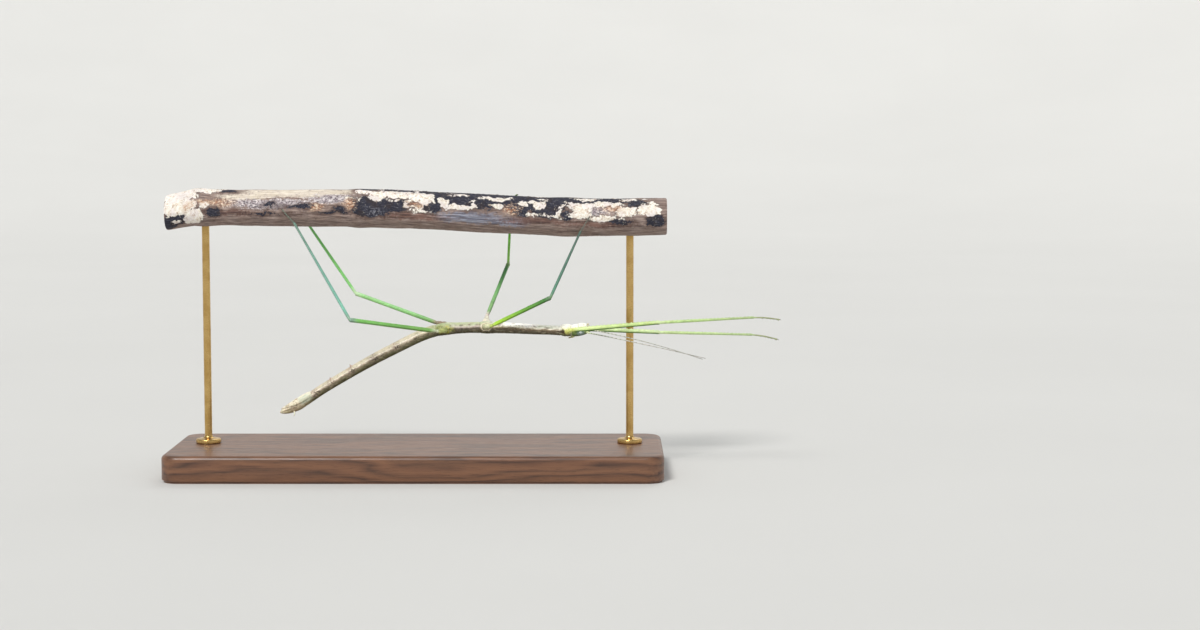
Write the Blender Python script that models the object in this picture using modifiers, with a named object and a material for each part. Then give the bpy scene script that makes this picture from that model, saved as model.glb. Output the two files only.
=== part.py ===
"""A stick insect hanging under a cut branch, life-size, on a plain display stand.

Every length below is in millimetres and every angle in degrees; metres() turns them into
Blender's units where a shape is made. The origin is the centre of the base's underside, +Z is
up and +X points the way the animal faces. It hangs with its back down, so its left side is at
-Y. Places on the body are given by s, the distance along its axis from the waist: s grows
towards the head and is negative in the abdomen.
"""

import math

import bmesh
import bpy
from mathutils import Matrix, Vector

UNIT = 0.001  # metres in a millimetre
JOINT_GAP = 0.15  # width of the thin cut between two pieces of the animal
FIT_GAP = 0.12  # clearance round a piece that sits in or on another

# Body axis: the waist, and the slope of the axis towards the head at a few places.
WAIST = Vector((6.85, -4.5, 47.9))
SLOPES = (
    (-60.0, 17.0), (-56.0, 20.0), (-51.5, 34.0), (-45.0, 34.0), (-40.0, 31.0), (-30.0, 30.0),
    (-18.0, 27.0), (-9.0, 26.5), (-4.5, 22.0), (0.0, 12.0), (5.0, 3.5), (16.5, -0.5),
    (28.0, -3.5), (40.0, -2.0), (52.0, 3.0),
)
AXIS_STEP = 0.5  # length of the short steps that the slope is summed in
ROLL = 15.0  # the belly leans this far towards -Y

# Body: the lengths of abdominal segments 2 to 10 and of the thorax, and the radius along the axis.
ABDOMEN_LENGTHS = (6.3, 8.0, 8.5, 8.5, 7.9, 6.4, 5.0, 3.6, 4.8)
METATHORAX, MESOTHORAX, PROTHORAX = 14.4, 26.9, 3.3
RADII = (
    (-59.0, 0.45), (-58.4, 0.75), (-56.5, 1.2), (-54.2, 1.6), (-52.0, 1.72), (-50.0, 1.7),
    (-45.6, 1.66), (-39.2, 1.7), (-31.3, 1.76), (-22.8, 1.86), (-14.3, 1.92), (-6.3, 1.98), (0.0, 2.02),
    (3.0, 2.1), (7.0, 1.9), (12.0, 1.83), (14.5, 1.95), (16.8, 2.1), (20.0, 1.9), (25.0, 1.82),
    (32.0, 1.7), (38.0, 1.58), (40.6, 1.66), (41.9, 1.84), (43.2, 2.0), (44.6, 1.78),
)
RING_SPACING = 2.9
GROOVE_DEPTH, GROOVE_REACH = 0.1, 0.7  # each segment narrows a little towards its joints
BODY_SIDES, LEG_SIDES, FEELER_SIDES, BRANCH_SIDES = 16, 8, 6, 16

# Head, from the neck forwards: distance, half width, height of the back, height of the mouth side.
NECK = METATHORAX + MESOTHORAX + PROTHORAX
HEAD_SECTIONS = (
    (0.15, 1.46, 1.5, 1.62), (0.6, 1.62, 1.78, 1.9), (1.3, 1.8, 1.88, 2.02), (2.1, 1.88, 1.78, 2.2),
    (3.1, 1.92, 1.64, 2.5), (4.2, 1.76, 1.36, 2.52), (5.1, 1.44, 1.06, 2.36), (5.8, 1.04, 0.76, 1.86),
    (6.35, 0.6, 0.48, 1.2),
)
HEAD_SIDES = 16
MOUTH_CUT = ((1.9, 1.75), (6.35, 0.1))  # the mouthparts lie beyond a plane through these two places
EYE_AT, EYE_ANGLE, EYE_RADIUS, EYE_PROUD = 3.2, 92.0, 0.68, 0.34
HORN_AT, HORN_ANGLE, HORN_LENGTH, HORN_RADIUS, HORN_RISE = 0.8, 155.0, 1.8, 0.32, 0.28
ANTENNA_AT, ANTENNA_ANGLE, ANTENNA_LENGTH, ANTENNA_STEPS = 5.35, 100.0, 40.0, 15
ANTENNA_FALLS = {"left": 0.14, "right": 0.24}  # how steeply each one slopes down
ANTENNA_BASE, ANTENNA_SPREAD, ANTENNA_DROOP = 1.1, 0.16, 0.1
ANTENNA_RADII = ((0.0, 0.40), (ANTENNA_BASE, 0.34), (3.5, 0.26), (40.0, 0.26))

# Tail end: the keeled plate under the tip and the two short feelers beside it.
PLATE_FROM, PLATE_TO = -46.4, -58.2
PLATE_SPAN, PLATE_TIP_SPAN, PLATE_THICKNESS, PLATE_BULGE = 80.0, 28.0, 0.5, 0.4
PLATE_ROWS, PLATE_COLUMNS = 10, 8
CERCUS_AT, CERCUS_ANGLE, CERCUS_LENGTH, CERCUS_RADIUS = -54.8, 128.0, 1.6, 0.28

# Branch: half its length, and the shape of its axis, thickness and knots.
BRANCH_HALF = 82.0
BRANCH_FRONT, BRANCH_BOW = -6.0, 8.7  # it bows forward in the middle
BRANCH_HEIGHT, BRANCH_FALL, FALL_FROM, FALL_TO = 88.5, 3.2, -22.0, 64.0
BEND_AT, BEND_SLOPE = -74.0, 0.2  # past this knot the branch turns down
BRANCH_RADII = ((-82.0, 6.0), (-40.0, 6.15), (-10.0, 6.45), (40.0, 6.4), (82.0, 6.3))
KNOTS = ((-72.0, 3.5, 0.35), (-19.0, 3.0, 0.22), (50.0, 5.0, 0.28))  # place, reach, height
BRANCH_RING_SPACING = 5.0

# Stand.
BASE_LENGTH, BASE_DEPTH, BASE_HEIGHT = 164.0, 56.0, 9.0
BASE_CORNER, BASE_EDGE = 6.0, 1.5
ROD_X, ROD_Y, ROD_RADIUS, ROD_SIDES = 71.0, 4.2, 1.25, 16
SOCKET_DEPTH = 3.0  # how far each rod enters the branch
FOOT_RADIUS, FOOT_HEIGHT, FOOT_CHAMFER = 4.2, 1.6, 0.5

# Legs. Both legs of a pair have the same lengths and thicknesses.
COXA_RADIUS, COXA_NECK, HIP_RADIUS, FOOT_THIN = 0.82, 0.6, 0.55, 0.28
TARSUS_LIFT = 0.42  # height of a gripping foot's axis over the bark
CORNER = 0.8  # how far from a bend its rounding starts
GENTLE_BEND = 18.0  # a bend under this angle isn't rounded
# A pair's place on the body and how far round from the belly's midline it is set, the lengths of
# coxa, femur and tibia, and the radii of femur, knee and tibia.
PAIRS = {
    "fore": (43.4, 82.0, 1.5, 30.0, 31.0, 0.66, 0.6, 0.46),
    "mid": (16.4, 63.0, 2.0, 22.5, 24.3, 0.66, 0.66, 0.46),
    "hind": (2.6, 78.0, 2.2, 30.6, 38.1, 0.66, 0.68, 0.48),
}
# A gripping leg: its side, the lean of its coxa, where the foot starts and ends on the branch (x,
# and the angle up from the front of the bark), and the way its knee points.
GRIPS = {
    "mid_left": (1, (0.47, 0.88, 0.0), (54.6, -38.0), (57.4, 2.0), (0.62, -0.54, -0.57)),
    "mid_right": (-1, (1.0, 0.0, 0.0), (31.4, 146.0), (33.6, 100.0), (0.22, 0.97, -0.10)),
    "hind_left": (1, (0.37, -0.93, 0.0), (-39.6, -44.0), (-43.4, -2.0), (-0.45, -0.66, -0.6)),
    "hind_right": (-1, (0.47, -0.88, 0.0), (-42.0, 158.0), (-46.4, 122.0), (-0.56, 0.42, -0.71)),
}
# An outstretched foreleg: its side, the lean of its coxa, the way it points in x, y and z, and the
# way its knee points.
REACHES = {
    "fore_left": (1, (0.45, 0.6, 0.62), (1.0, -0.030, 0.072), (0.0, -1.0, 0.3)),
    "fore_right": (-1, (0.5, 0.6, -0.7), (1.0, 0.010, -0.035), (0.0, 1.0, -0.2)),
}
REACH_SHARE = 0.997  # of the full length of femur and tibia
FORE_BOW, FORE_BOW_SHARE = 0.75, 0.33  # the thigh bows out round the head
FORE_TARSUS = 8.5


def metres(value):
    """A length, place or matrix-free vector in Blender's units."""
    return value * UNIT


def between(keys, place):
    """The value at a place along a list of (place, value) keys, on straight lines between them."""
    if place <= keys[0][0]:
        return keys[0][1]
    for (start, low), (end, high) in zip(keys, keys[1:]):
        if place <= end:
            return low + (high - low) * (place - start) / (end - start)
    return keys[-1][1]


def smooth(share):
    """0 up to 0, 1 from 1, and an even S between them."""
    share = min(max(share, 0.0), 1.0)
    return share * share * (3.0 - 2.0 * share)


# Scene, materials and the making of solids.


def clear_scene():
    for obj in list(bpy.data.objects):
        bpy.data.objects.remove(obj)


def collection(name, shown=True):
    made = bpy.data.collections.new(name)
    made.hide_render = not shown
    bpy.context.scene.collection.children.link(made)
    return made


def finish_material(name, colour, roughness, metallic=0.0):
    made = bpy.data.materials.new(name)
    made.use_nodes = True
    shader = made.node_tree.nodes["Principled BSDF"]
    shader.inputs["Base Color"].default_value = (*colour, 1.0)
    shader.inputs["Roughness"].default_value = roughness
    shader.inputs["Metallic"].default_value = metallic
    return made


def shade(obj):
    obj.data.shade_smooth()
    obj.data.set_sharp_from_angle(angle=math.radians(40.0))


def solid(name, shape, material):
    """A node made of the mesh in shape, whose lengths are in millimetres."""
    bmesh.ops.transform(shape, matrix=Matrix.Scale(UNIT, 4), verts=shape.verts)
    bmesh.ops.recalc_face_normals(shape, faces=shape.faces)
    mesh = bpy.data.meshes.new(name)
    shape.to_mesh(mesh)
    shape.free()
    obj = bpy.data.objects.new(name, mesh)
    mesh.materials.append(material)
    PARTS.objects.link(obj)
    shade(obj)
    return obj


def tube(name, path, radii, sides, material):
    """A curve object along path, with the radius given at each of its points and filled ends."""
    curve = bpy.data.curves.new(name, "CURVE")
    curve.dimensions = "3D"
    curve.twist_mode = "MINIMUM"
    curve.bevel_depth = metres(1.0)
    curve.bevel_resolution = (sides - 4) // 2
    curve.use_fill_caps = True
    spline = curve.splines.new("POLY")
    spline.points.add(len(path) - 1)
    for point, place, radius in zip(spline.points, path, radii):
        point.co = (*metres(place), 1.0)
        point.radius = radius
    obj = bpy.data.objects.new(name, curve)
    curve.materials.append(material)
    PARTS.objects.link(obj)
    return obj


def meshed(obj):
    """A curve object made a mesh object of the same name, its caps welded on."""
    graph = bpy.context.evaluated_depsgraph_get()
    mesh = bpy.data.meshes.new_from_object(obj.evaluated_get(graph))
    shape = bmesh.new()
    shape.from_mesh(mesh)
    bmesh.ops.remove_doubles(shape, verts=shape.verts, dist=metres(0.001))
    bmesh.ops.recalc_face_normals(shape, faces=shape.faces)
    shape.to_mesh(mesh)
    shape.free()
    name, place = obj.name, obj.matrix_world.copy()
    bpy.data.objects.remove(obj)
    made = bpy.data.objects.new(name, mesh)
    made.matrix_world = place
    PARTS.objects.link(made)
    shade(made)
    return made


def parted(whole, name, planes):
    """The stretch of a solid between planes. Each is (point, way): a thin cut through point, kept
    on the side that way points to."""
    shape = bmesh.new()
    shape.from_mesh(whole.data)
    for point, way in planes:
        way = way.normalized()
        cut = bmesh.ops.bisect_plane(
            shape,
            geom=[*shape.verts, *shape.edges, *shape.faces],
            dist=metres(0.0005),
            plane_co=metres(point + way * JOINT_GAP / 2),
            plane_no=way,
            clear_inner=True,
        )
        rim = [edge for edge in cut["geom_cut"] if isinstance(edge, bmesh.types.BMEdge)]
        bmesh.ops.edgeloop_fill(shape, edges=rim)
    bmesh.ops.recalc_face_normals(shape, faces=shape.faces)
    mesh = bpy.data.meshes.new(name)
    shape.to_mesh(mesh)
    shape.free()
    for material in whole.data.materials:
        mesh.materials.append(material)
    obj = bpy.data.objects.new(name, mesh)
    PARTS.objects.link(obj)
    shade(obj)
    return obj


def cut_away(obj, cutter):
    """Subtracts a cutter, which stays in the file as a hidden helper."""
    for holder in list(cutter.users_collection):
        holder.objects.unlink(cutter)
    CUTTERS.objects.link(cutter)
    cutter.hide_render = True
    cutter.display_type = "WIRE"
    modifier = obj.modifiers.new(f"minus_{cutter.name}", "BOOLEAN")
    modifier.operation = "DIFFERENCE"
    modifier.object = cutter


def rounded(path, reach):
    """A path of straight stretches with each sharp bend rounded over reach on both sides of it."""
    made = [path[0]]
    for before, corner, after in zip(path, path[1:], path[2:]):
        if (corner - before).angle(after - corner) < math.radians(GENTLE_BEND):
            made.append(corner)
            continue
        start = corner + (before - corner).normalized() * min(reach, (before - corner).length / 2)
        end = corner + (after - corner).normalized() * min(reach, (after - corner).length / 2)
        for share in (0.0, 1 / 3, 2 / 3, 1.0):
            made.append(start.lerp(corner, share).lerp(corner.lerp(end, share), share))
    return [*made, path[-1]]


# The body's axis and surface.


def slope(s):
    return math.radians(between(SLOPES, s))


def body_point(s):
    """Centre of the body at s."""
    steps = max(1, math.ceil(abs(s) / AXIS_STEP))
    point = WAIST.copy()
    for i in range(steps):
        way = slope((i + 0.5) * s / steps)
        point += Vector((math.cos(way), 0.0, math.sin(way))) * (s / steps)
    return point


def body_forward(s):
    way = slope(s)
    return Vector((math.cos(way), 0.0, math.sin(way)))


def body_out(s, angle):
    """The way out of the body at s: angle 0 is the belly, 90 the animal's left, 180 its back."""
    way, roll = slope(s), math.radians(ROLL)
    up, front = Vector((-math.sin(way), 0.0, math.cos(way))), Vector((0.0, -1.0, 0.0))
    belly = up * math.cos(roll) + front * math.sin(roll)
    left = front * math.cos(roll) - up * math.sin(roll)
    return belly * math.cos(math.radians(angle)) + left * math.sin(math.radians(angle))


def joints():
    """Places of the cuts between the pieces of the body, from the tail to the neck."""
    places = [0.0]
    for length in ABDOMEN_LENGTHS[:-1]:
        places.insert(0, places[0] - length)
    return [*places, METATHORAX, METATHORAX + MESOTHORAX]


def body_radius(s):
    nearest = min(abs(s - place) for place in joints())
    return between(RADII, s) - GROOVE_DEPTH * (1.0 - smooth(nearest / GROOVE_REACH))


def make_trunk(material):
    """Abdomen and thorax as one tube, parted at the joints between their segments."""
    tail, cuts = -sum(ABDOMEN_LENGTHS), joints()
    steps = round((NECK - tail) / RING_SPACING)
    places = {tail + (NECK - tail) * i / steps for i in range(steps + 1)}
    places = {s for s in places if min(abs(s - cut) for cut in cuts) > GROOVE_REACH}
    for cut in cuts:
        places |= {cut - GROOVE_REACH, cut - GROOVE_DEPTH, cut + GROOVE_DEPTH, cut + GROOVE_REACH}
    places = sorted(places | {RADII[0][0], RADII[1][0]})
    path = [body_point(s) for s in places]
    radii = [body_radius(s) for s in places]
    whole = meshed(tube("trunk", path, radii, BODY_SIDES, material))
    names = [f"abdomen_{n}" for n in range(10, 1, -1)] + ["metathorax", "mesothorax", "prothorax"]
    for name, start, end in zip(names, [None, *cuts], [*cuts, None]):
        planes = []
        if start is not None:
            planes.append((body_point(start), body_forward(start)))
        if end is not None:
            planes.append((body_point(end), -body_forward(end)))
        parted(whole, name, planes)
    bpy.data.objects.remove(whole)


def make_tail_plate(material):
    """The keeled plate on the belly side of the tip: a gutter that narrows to a point."""
    shape = bmesh.new()
    bmesh.ops.create_grid(shape, x_segments=PLATE_ROWS, y_segments=PLATE_COLUMNS, size=0.5)
    for vertex in shape.verts:
        along, across = vertex.co.x + 0.5, vertex.co.y * 2.0
        s = PLATE_FROM + (PLATE_TO - PLATE_FROM) * along
        span = PLATE_SPAN + (PLATE_TIP_SPAN - PLATE_SPAN) * along**2
        radius = between(RADII, s) + FIT_GAP + PLATE_BULGE * math.sin(math.pi * along)
        vertex.co = body_point(s) + body_out(s, across * span) * radius
    plate = solid("subgenital_plate", shape, material)
    thickness = plate.modifiers.new("thickness", "SOLIDIFY")
    thickness.thickness = metres(PLATE_THICKNESS)
    thickness.offset = 1.0
    if outward_share(plate) < 0.0:
        thickness.offset = -1.0


def outward_share(plate):
    """Positive where the plate's faces look away from the body's axis."""
    total = 0.0
    for face in plate.data.polygons:
        s = PLATE_FROM + (PLATE_TO - PLATE_FROM) / 2
        total += face.normal.dot(face.center - metres(body_point(s)))
    return total


def make_cerci(material):
    for name, side in (("left", 1), ("right", -1)):
        out = body_out(CERCUS_AT, side * CERCUS_ANGLE)
        root = body_point(CERCUS_AT) + out * (body_radius(CERCUS_AT) + FIT_GAP)
        path = [root + out * CERCUS_LENGTH * share for share in (0.0, 0.5, 1.0)]
        radii = [CERCUS_RADIUS, CERCUS_RADIUS * 0.95, CERCUS_RADIUS * 0.75]
        tube(f"cercus_{name}", path, radii, LEG_SIDES, material)


# Head, eyes, horns and antennae.


def head_height(at, angle):
    """Half width and height of the head at a distance from the neck, for one way round it."""
    keys = [[(row[0], row[i]) for row in HEAD_SECTIONS] for i in (1, 2, 3)]
    wide, back, mouth = (between(column, at) for column in keys)
    return wide, mouth if math.cos(math.radians(angle)) > 0.0 else back


def head_point(at, angle, out=0.0):
    """A place on the head, or out millimetres off it. The angle runs as in body_out."""
    s = NECK + at
    wide, high = head_height(at, angle)
    turn = math.radians(angle)
    belly, left = body_out(s, 0.0), body_out(s, 90.0)
    place = belly * (high + out) * math.cos(turn) + left * (wide + out) * math.sin(turn)
    return body_point(s) + place


def make_head(material):
    """The head as a loft through its sections, parted into the capsule and the mouthparts."""
    shape = bmesh.new()
    rings = []
    for section in HEAD_SECTIONS:
        turns = [360.0 * i / HEAD_SIDES for i in range(HEAD_SIDES)]
        rings.append([shape.verts.new(head_point(section[0], turn)) for turn in turns])
    for ring, following in zip(rings, rings[1:]):
        for i in range(HEAD_SIDES):
            j = (i + 1) % HEAD_SIDES
            shape.faces.new((ring[i], ring[j], following[j], following[i]))
    shape.faces.new(reversed(rings[0]))
    shape.faces.new(rings[-1])
    whole = solid("head_whole", shape, material)
    (near, low), (far, high) = MOUTH_CUT
    root = body_point(NECK + near) + body_out(NECK + near, 0.0) * low
    tip = body_point(NECK + far) + body_out(NECK + far, 0.0) * high
    left = body_out(NECK + near, 90.0)
    mouth_way = left.cross(tip - root)
    if mouth_way.dot(body_out(NECK + near, 0.0)) < 0.0:
        mouth_way.negate()
    head = parted(whole, "head", [(root, -mouth_way)])
    parted(whole, "mouthparts", [(root, mouth_way)])
    bpy.data.objects.remove(whole)
    return head


def ball(name, centre, radius, material):
    shape = bmesh.new()
    bmesh.ops.create_uvsphere(shape, u_segments=14, v_segments=9, radius=radius)
    bmesh.ops.translate(shape, verts=shape.verts, vec=centre)
    return solid(name, shape, material)


def make_eyes(head, material):
    """Each eye is a ball set into a socket of the head."""
    for name, side in (("left", 1), ("right", -1)):
        centre = head_point(EYE_AT, side * EYE_ANGLE, EYE_PROUD - EYE_RADIUS)
        ball(f"eye_{name}", centre, EYE_RADIUS, material)
        cut_away(head, ball(f"socket_{name}", centre, EYE_RADIUS + FIT_GAP, material))


def make_horns(material):
    """A pair of short cones on the back of the head that lean towards the tail."""
    for name, side in (("left", 1), ("right", -1)):
        angle = side * HORN_ANGLE
        root = head_point(HORN_AT, angle, FIT_GAP + HORN_RADIUS)
        out, back = body_out(NECK + HORN_AT, angle), -body_forward(NECK + HORN_AT)
        way = (out * HORN_RISE + back).normalized()
        shape = bmesh.new()
        bmesh.ops.create_cone(
            shape, cap_ends=True, segments=10, radius1=HORN_RADIUS, radius2=0.1, depth=HORN_LENGTH
        )
        turn = way.to_track_quat("Z", "Y").to_matrix().to_4x4()
        place = Matrix.Translation(root + way * HORN_LENGTH / 2) @ turn
        bmesh.ops.transform(shape, matrix=place, verts=shape.verts)
        solid(f"horn_{name}", shape, material)


def antenna_path(name, side):
    """From the front of the head forwards and a little down, with an even droop."""
    root = head_point(ANTENNA_AT, side * ANTENNA_ANGLE, FIT_GAP + 0.25)
    front = body_out(NECK, side * 90.0)
    heading = Vector((1.0, 0.0, -ANTENNA_FALLS[name]))
    path = [root, root + (front * 0.45 + heading).normalized() * ANTENNA_BASE]
    step = (ANTENNA_LENGTH - ANTENNA_BASE) / ANTENNA_STEPS
    for i in range(ANTENNA_STEPS):
        share = (i + 1) / ANTENNA_STEPS
        way = heading + front * ANTENNA_SPREAD * (1.0 - share)
        way.z -= ANTENNA_DROOP * share
        path.append(path[-1] + way.normalized() * step)
    return path


def make_antennae(material):
    for name, side in (("left", 1), ("right", -1)):
        path, gone, radii = antenna_path(name, side), 0.0, []
        for before, after in zip([path[0], *path], path):
            gone += (after - before).length
            radii.append(between(ANTENNA_RADII, gone))
        tube(f"antenna_{name}", path, radii, FEELER_SIDES, material)


# Branch.


def branch_point(x):
    """Centre of the branch at x."""
    y = BRANCH_FRONT + BRANCH_BOW * (x / BRANCH_HALF) ** 2
    z = BRANCH_HEIGHT - BRANCH_FALL * smooth((x - FALL_FROM) / (FALL_TO - FALL_FROM))
    z -= BEND_SLOPE * max(0.0, BEND_AT - x)
    return Vector((x, y, z))


def branch_radius(x):
    radius = between(BRANCH_RADII, x)
    for place, reach, height in KNOTS:
        radius += height * math.exp(-(((x - place) / reach) ** 2))
    return radius


def on_branch(x, angle, lift):
    """A place over the bark: angle 0 is the front of the branch, 90 its top and 180 its back."""
    turn = math.radians(angle)
    out = Vector((0.0, -math.cos(turn), math.sin(turn)))
    return branch_point(x) + out * (branch_radius(x) + lift)


def make_branch(material):
    steps = round(2 * BRANCH_HALF / BRANCH_RING_SPACING)
    places = [BRANCH_HALF * (2 * i / steps - 1) for i in range(steps + 1)]
    path = [branch_point(x) for x in places]
    radii = [branch_radius(x) for x in places]
    return meshed(tube("perch_branch", path, radii, BRANCH_SIDES, material))


# Legs.


def knee_of(hip, ankle, femur, tibia, towards):
    """The knee between hip and ankle for the two lengths, on the side that towards points to."""
    line = ankle - hip
    reach = line.length
    along = (femur**2 - tibia**2 + reach**2) / (2 * reach)
    off = math.sqrt(max(0.0, femur**2 - along**2))
    line.normalize()
    side = Vector(towards)
    side = (side - line * side.dot(line)).normalized()
    return hip + line * along + side * off


def coxa_of(pair, side, lean):
    """Path of the coxa from the body to the hip. It starts straight out of the body and then
    follows lean, given as (outwards, forwards, towards the belly)."""
    s, around, coxa = PAIRS[pair][:3]
    out = body_out(s, side * around)
    way = out * lean[0] + body_forward(s) * lean[1] + body_out(s, 0.0) * lean[2]
    root = body_point(s) + out * (body_radius(s) + JOINT_GAP)
    knuckle = root + out * COXA_NECK
    return [root, knuckle, knuckle + way.normalized() * coxa]


def gripping_foot(start, end):
    """Path of a foot that wraps round the bark from start to end, each (x, angle)."""
    path = []
    for share in (0.0, 0.25, 0.5, 0.75, 1.0):
        x = start[0] + (end[0] - start[0]) * share
        angle = start[1] + (end[1] - start[1]) * share
        path.append(on_branch(x, angle, TARSUS_LIFT + 0.35 * (1.0 - share) ** 2))
    return path


def bowed(hip, knee, side):
    """Points between hip and knee of a thigh that bows out sideways near its root."""
    out, made = Vector((0.0, -float(side), 0.0)), []
    for i in range(1, 6):
        share = FORE_BOW_SHARE * i / 6
        made.append(hip.lerp(knee, share) + out * FORE_BOW * math.sin(math.pi * i / 6))
    return made


def make_leg(name, pair, coxa, bow, knee, foot, material):
    """One leg as a tube from the body to its toe, parted at hip, knee and ankle."""
    knuckle, hip, ankle = coxa[1], coxa[2], foot[0]
    spine = rounded([*coxa, *bow, knee, *foot], CORNER)
    keys, radii = leg_radii(coxa, knee, ankle, *PAIRS[pair][5:]), []
    gone = 0.0
    for before, after in zip([spine[0], *spine], spine):
        gone += (after - before).length
        radii.append(between(keys, gone))
    spine, radii = dense_ends(spine, radii, keys)
    whole = meshed(tube(f"leg_{name}", spine, radii, LEG_SIDES, material))
    to_hip = (hip - knuckle).normalized()
    after_hip = ((bow[0] if bow else knee) - hip).normalized()
    before_knee = (knee - (bow[-1] if bow else hip)).normalized()
    shin, toe = (ankle - knee).normalized(), (foot[1] - ankle).normalized()
    cut_hip, cut_knee, cut_ankle = to_hip + after_hip, before_knee + shin, shin + toe
    parted(whole, f"coxa_{name}", [(hip, -cut_hip)])
    parted(whole, f"femur_{name}", [(hip, cut_hip), (knee, -cut_knee)])
    parted(whole, f"tibia_{name}", [(knee, cut_knee), (ankle, -cut_ankle)])
    parted(whole, f"tarsus_{name}", [(ankle, cut_ankle)])
    bpy.data.objects.remove(whole)


def leg_radii(coxa, knee, ankle, femur, bend, tibia):
    """(distance along the leg, radius) keys from the body to the toe."""
    root, knuckle, hip = coxa
    to_hip = (knuckle - root).length + (hip - knuckle).length
    to_knee = to_hip + (knee - hip).length
    to_ankle = to_knee + (ankle - knee).length
    return (
        (0.0, COXA_RADIUS), (to_hip * 0.6, COXA_RADIUS * 0.9), (to_hip, HIP_RADIUS),
        (to_hip + 1.5, HIP_RADIUS), (to_hip + 6.0, femur), (to_knee - 4.0, femur * 0.92),
        (to_knee - 1.0, bend * 0.9), (to_knee, bend), (to_knee + 1.2, tibia * 1.05),
        (to_knee + 8.0, tibia), (to_ankle - 2.0, tibia * 0.72), (to_ankle, FOOT_THIN * 1.15),
        (to_ankle + 1.0, FOOT_THIN), (to_ankle + 12.0, FOOT_THIN),
    )


def dense_ends(spine, radii, keys):
    """Adds a point to the path at each radius key that falls inside one of its long stretches."""
    path, thick, gone = [spine[0]], [radii[0]], 0.0
    for before, after, radius in zip(spine, spine[1:], radii[1:]):
        length = (after - before).length
        for place, value in keys:
            if gone + 0.3 < place < gone + length - 0.3:
                path.append(before.lerp(after, (place - gone) / length))
                thick.append(value)
        gone += length
        path.append(after)
        thick.append(radius)
    return path, thick


def make_legs(material):
    for name, (side, lean, start, end, towards) in GRIPS.items():
        pair = name.split("_")[0]
        coxa = coxa_of(pair, side, lean)
        foot = gripping_foot(start, end)
        knee = knee_of(coxa[2], foot[0], *PAIRS[pair][3:5], towards)
        make_leg(name, pair, coxa, [], knee, foot, material)
    for name, (side, lean, way, towards) in REACHES.items():
        coxa = coxa_of("fore", side, lean)
        hip = coxa[2]
        femur, tibia = PAIRS["fore"][3:5]
        ahead = Vector(way).normalized()
        ankle = hip + ahead * (femur + tibia) * REACH_SHARE
        knee = knee_of(hip, ankle, femur, tibia, towards)
        droop = Vector((0.0, 0.0, -0.15))
        toe = ankle + (ahead + droop).normalized() * FORE_TARSUS
        foot = [ankle, ankle.lerp(toe, 0.5) - droop * 2.0, toe]
        make_leg(name, "fore", coxa, bowed(hip, knee, side), knee, foot, material)


# Stand.


def make_base(material):
    """A board with rounded corners and softened upper edges."""
    shape = bmesh.new()
    bmesh.ops.create_cube(shape, size=1.0)
    size = Matrix.Diagonal((BASE_LENGTH, BASE_DEPTH, BASE_HEIGHT, 1.0))
    bmesh.ops.transform(shape, matrix=size, verts=shape.verts)
    bmesh.ops.translate(shape, verts=shape.verts, vec=(0.0, 0.0, BASE_HEIGHT / 2))
    upright = [e for e in shape.edges if abs(e.verts[0].co.z - e.verts[1].co.z) > 1.0]
    bmesh.ops.bevel(shape, geom=upright, offset=BASE_CORNER, segments=6, affect="EDGES", profile=0.5)
    rim = [e for e in shape.edges if min(v.co.z for v in e.verts) > BASE_HEIGHT - 0.01]
    bmesh.ops.bevel(shape, geom=rim, offset=BASE_EDGE, segments=3, affect="EDGES", profile=0.5)
    solid("stand_base", shape, material)


def turned(name, profile, sides, material, place):
    """A profile of (radius, height) points, top to bottom, turned round a vertical axis."""
    mesh = bpy.data.meshes.new(name)
    points = [metres(Vector((radius, 0.0, height))) for radius, height in profile]
    mesh.from_pydata(points, [(i, i + 1) for i in range(len(points) - 1)], [])
    mesh.materials.append(material)
    obj = bpy.data.objects.new(name, mesh)
    obj.location = metres(Vector(place))
    PARTS.objects.link(obj)
    screw = obj.modifiers.new("turn", "SCREW")
    screw.steps = screw.render_steps = sides
    screw.use_merge_vertices = True
    screw.merge_threshold = 0.000001
    screw.use_normal_calculate = True
    screw.use_normal_flip = True
    return obj


def make_rods(branch, material):
    """Two upright rods, each turned with its foot, that end in sockets under the branch."""
    for name, x in (("left", -ROD_X), ("right", ROD_X)):
        centre = branch_point(x)
        offset = ROD_Y - centre.y
        skin = centre.z - math.sqrt(branch_radius(x) ** 2 - offset**2)
        bottom, top = BASE_HEIGHT + FIT_GAP, skin + SOCKET_DEPTH
        profile = (
            (0.0, top), (ROD_RADIUS, top), (ROD_RADIUS, bottom + FOOT_HEIGHT),
            (FOOT_RADIUS - FOOT_CHAMFER, bottom + FOOT_HEIGHT),
            (FOOT_RADIUS, bottom + FOOT_HEIGHT - FOOT_CHAMFER), (FOOT_RADIUS, bottom), (0.0, bottom),
        )
        turned(f"stand_rod_{name}", profile, ROD_SIDES, material, (x, ROD_Y, 0.0))
        shape = bmesh.new()
        hole, low = ROD_RADIUS + FIT_GAP, centre.z - branch_radius(x) - 2.0
        high = top + FIT_GAP
        bmesh.ops.create_cone(
            shape, cap_ends=True, segments=ROD_SIDES, radius1=hole, radius2=hole, depth=high - low
        )
        bmesh.ops.translate(shape, verts=shape.verts, vec=(x, ROD_Y, (high + low) / 2))
        cut_away(branch, solid(f"hole_{name}", shape, material))


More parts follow.
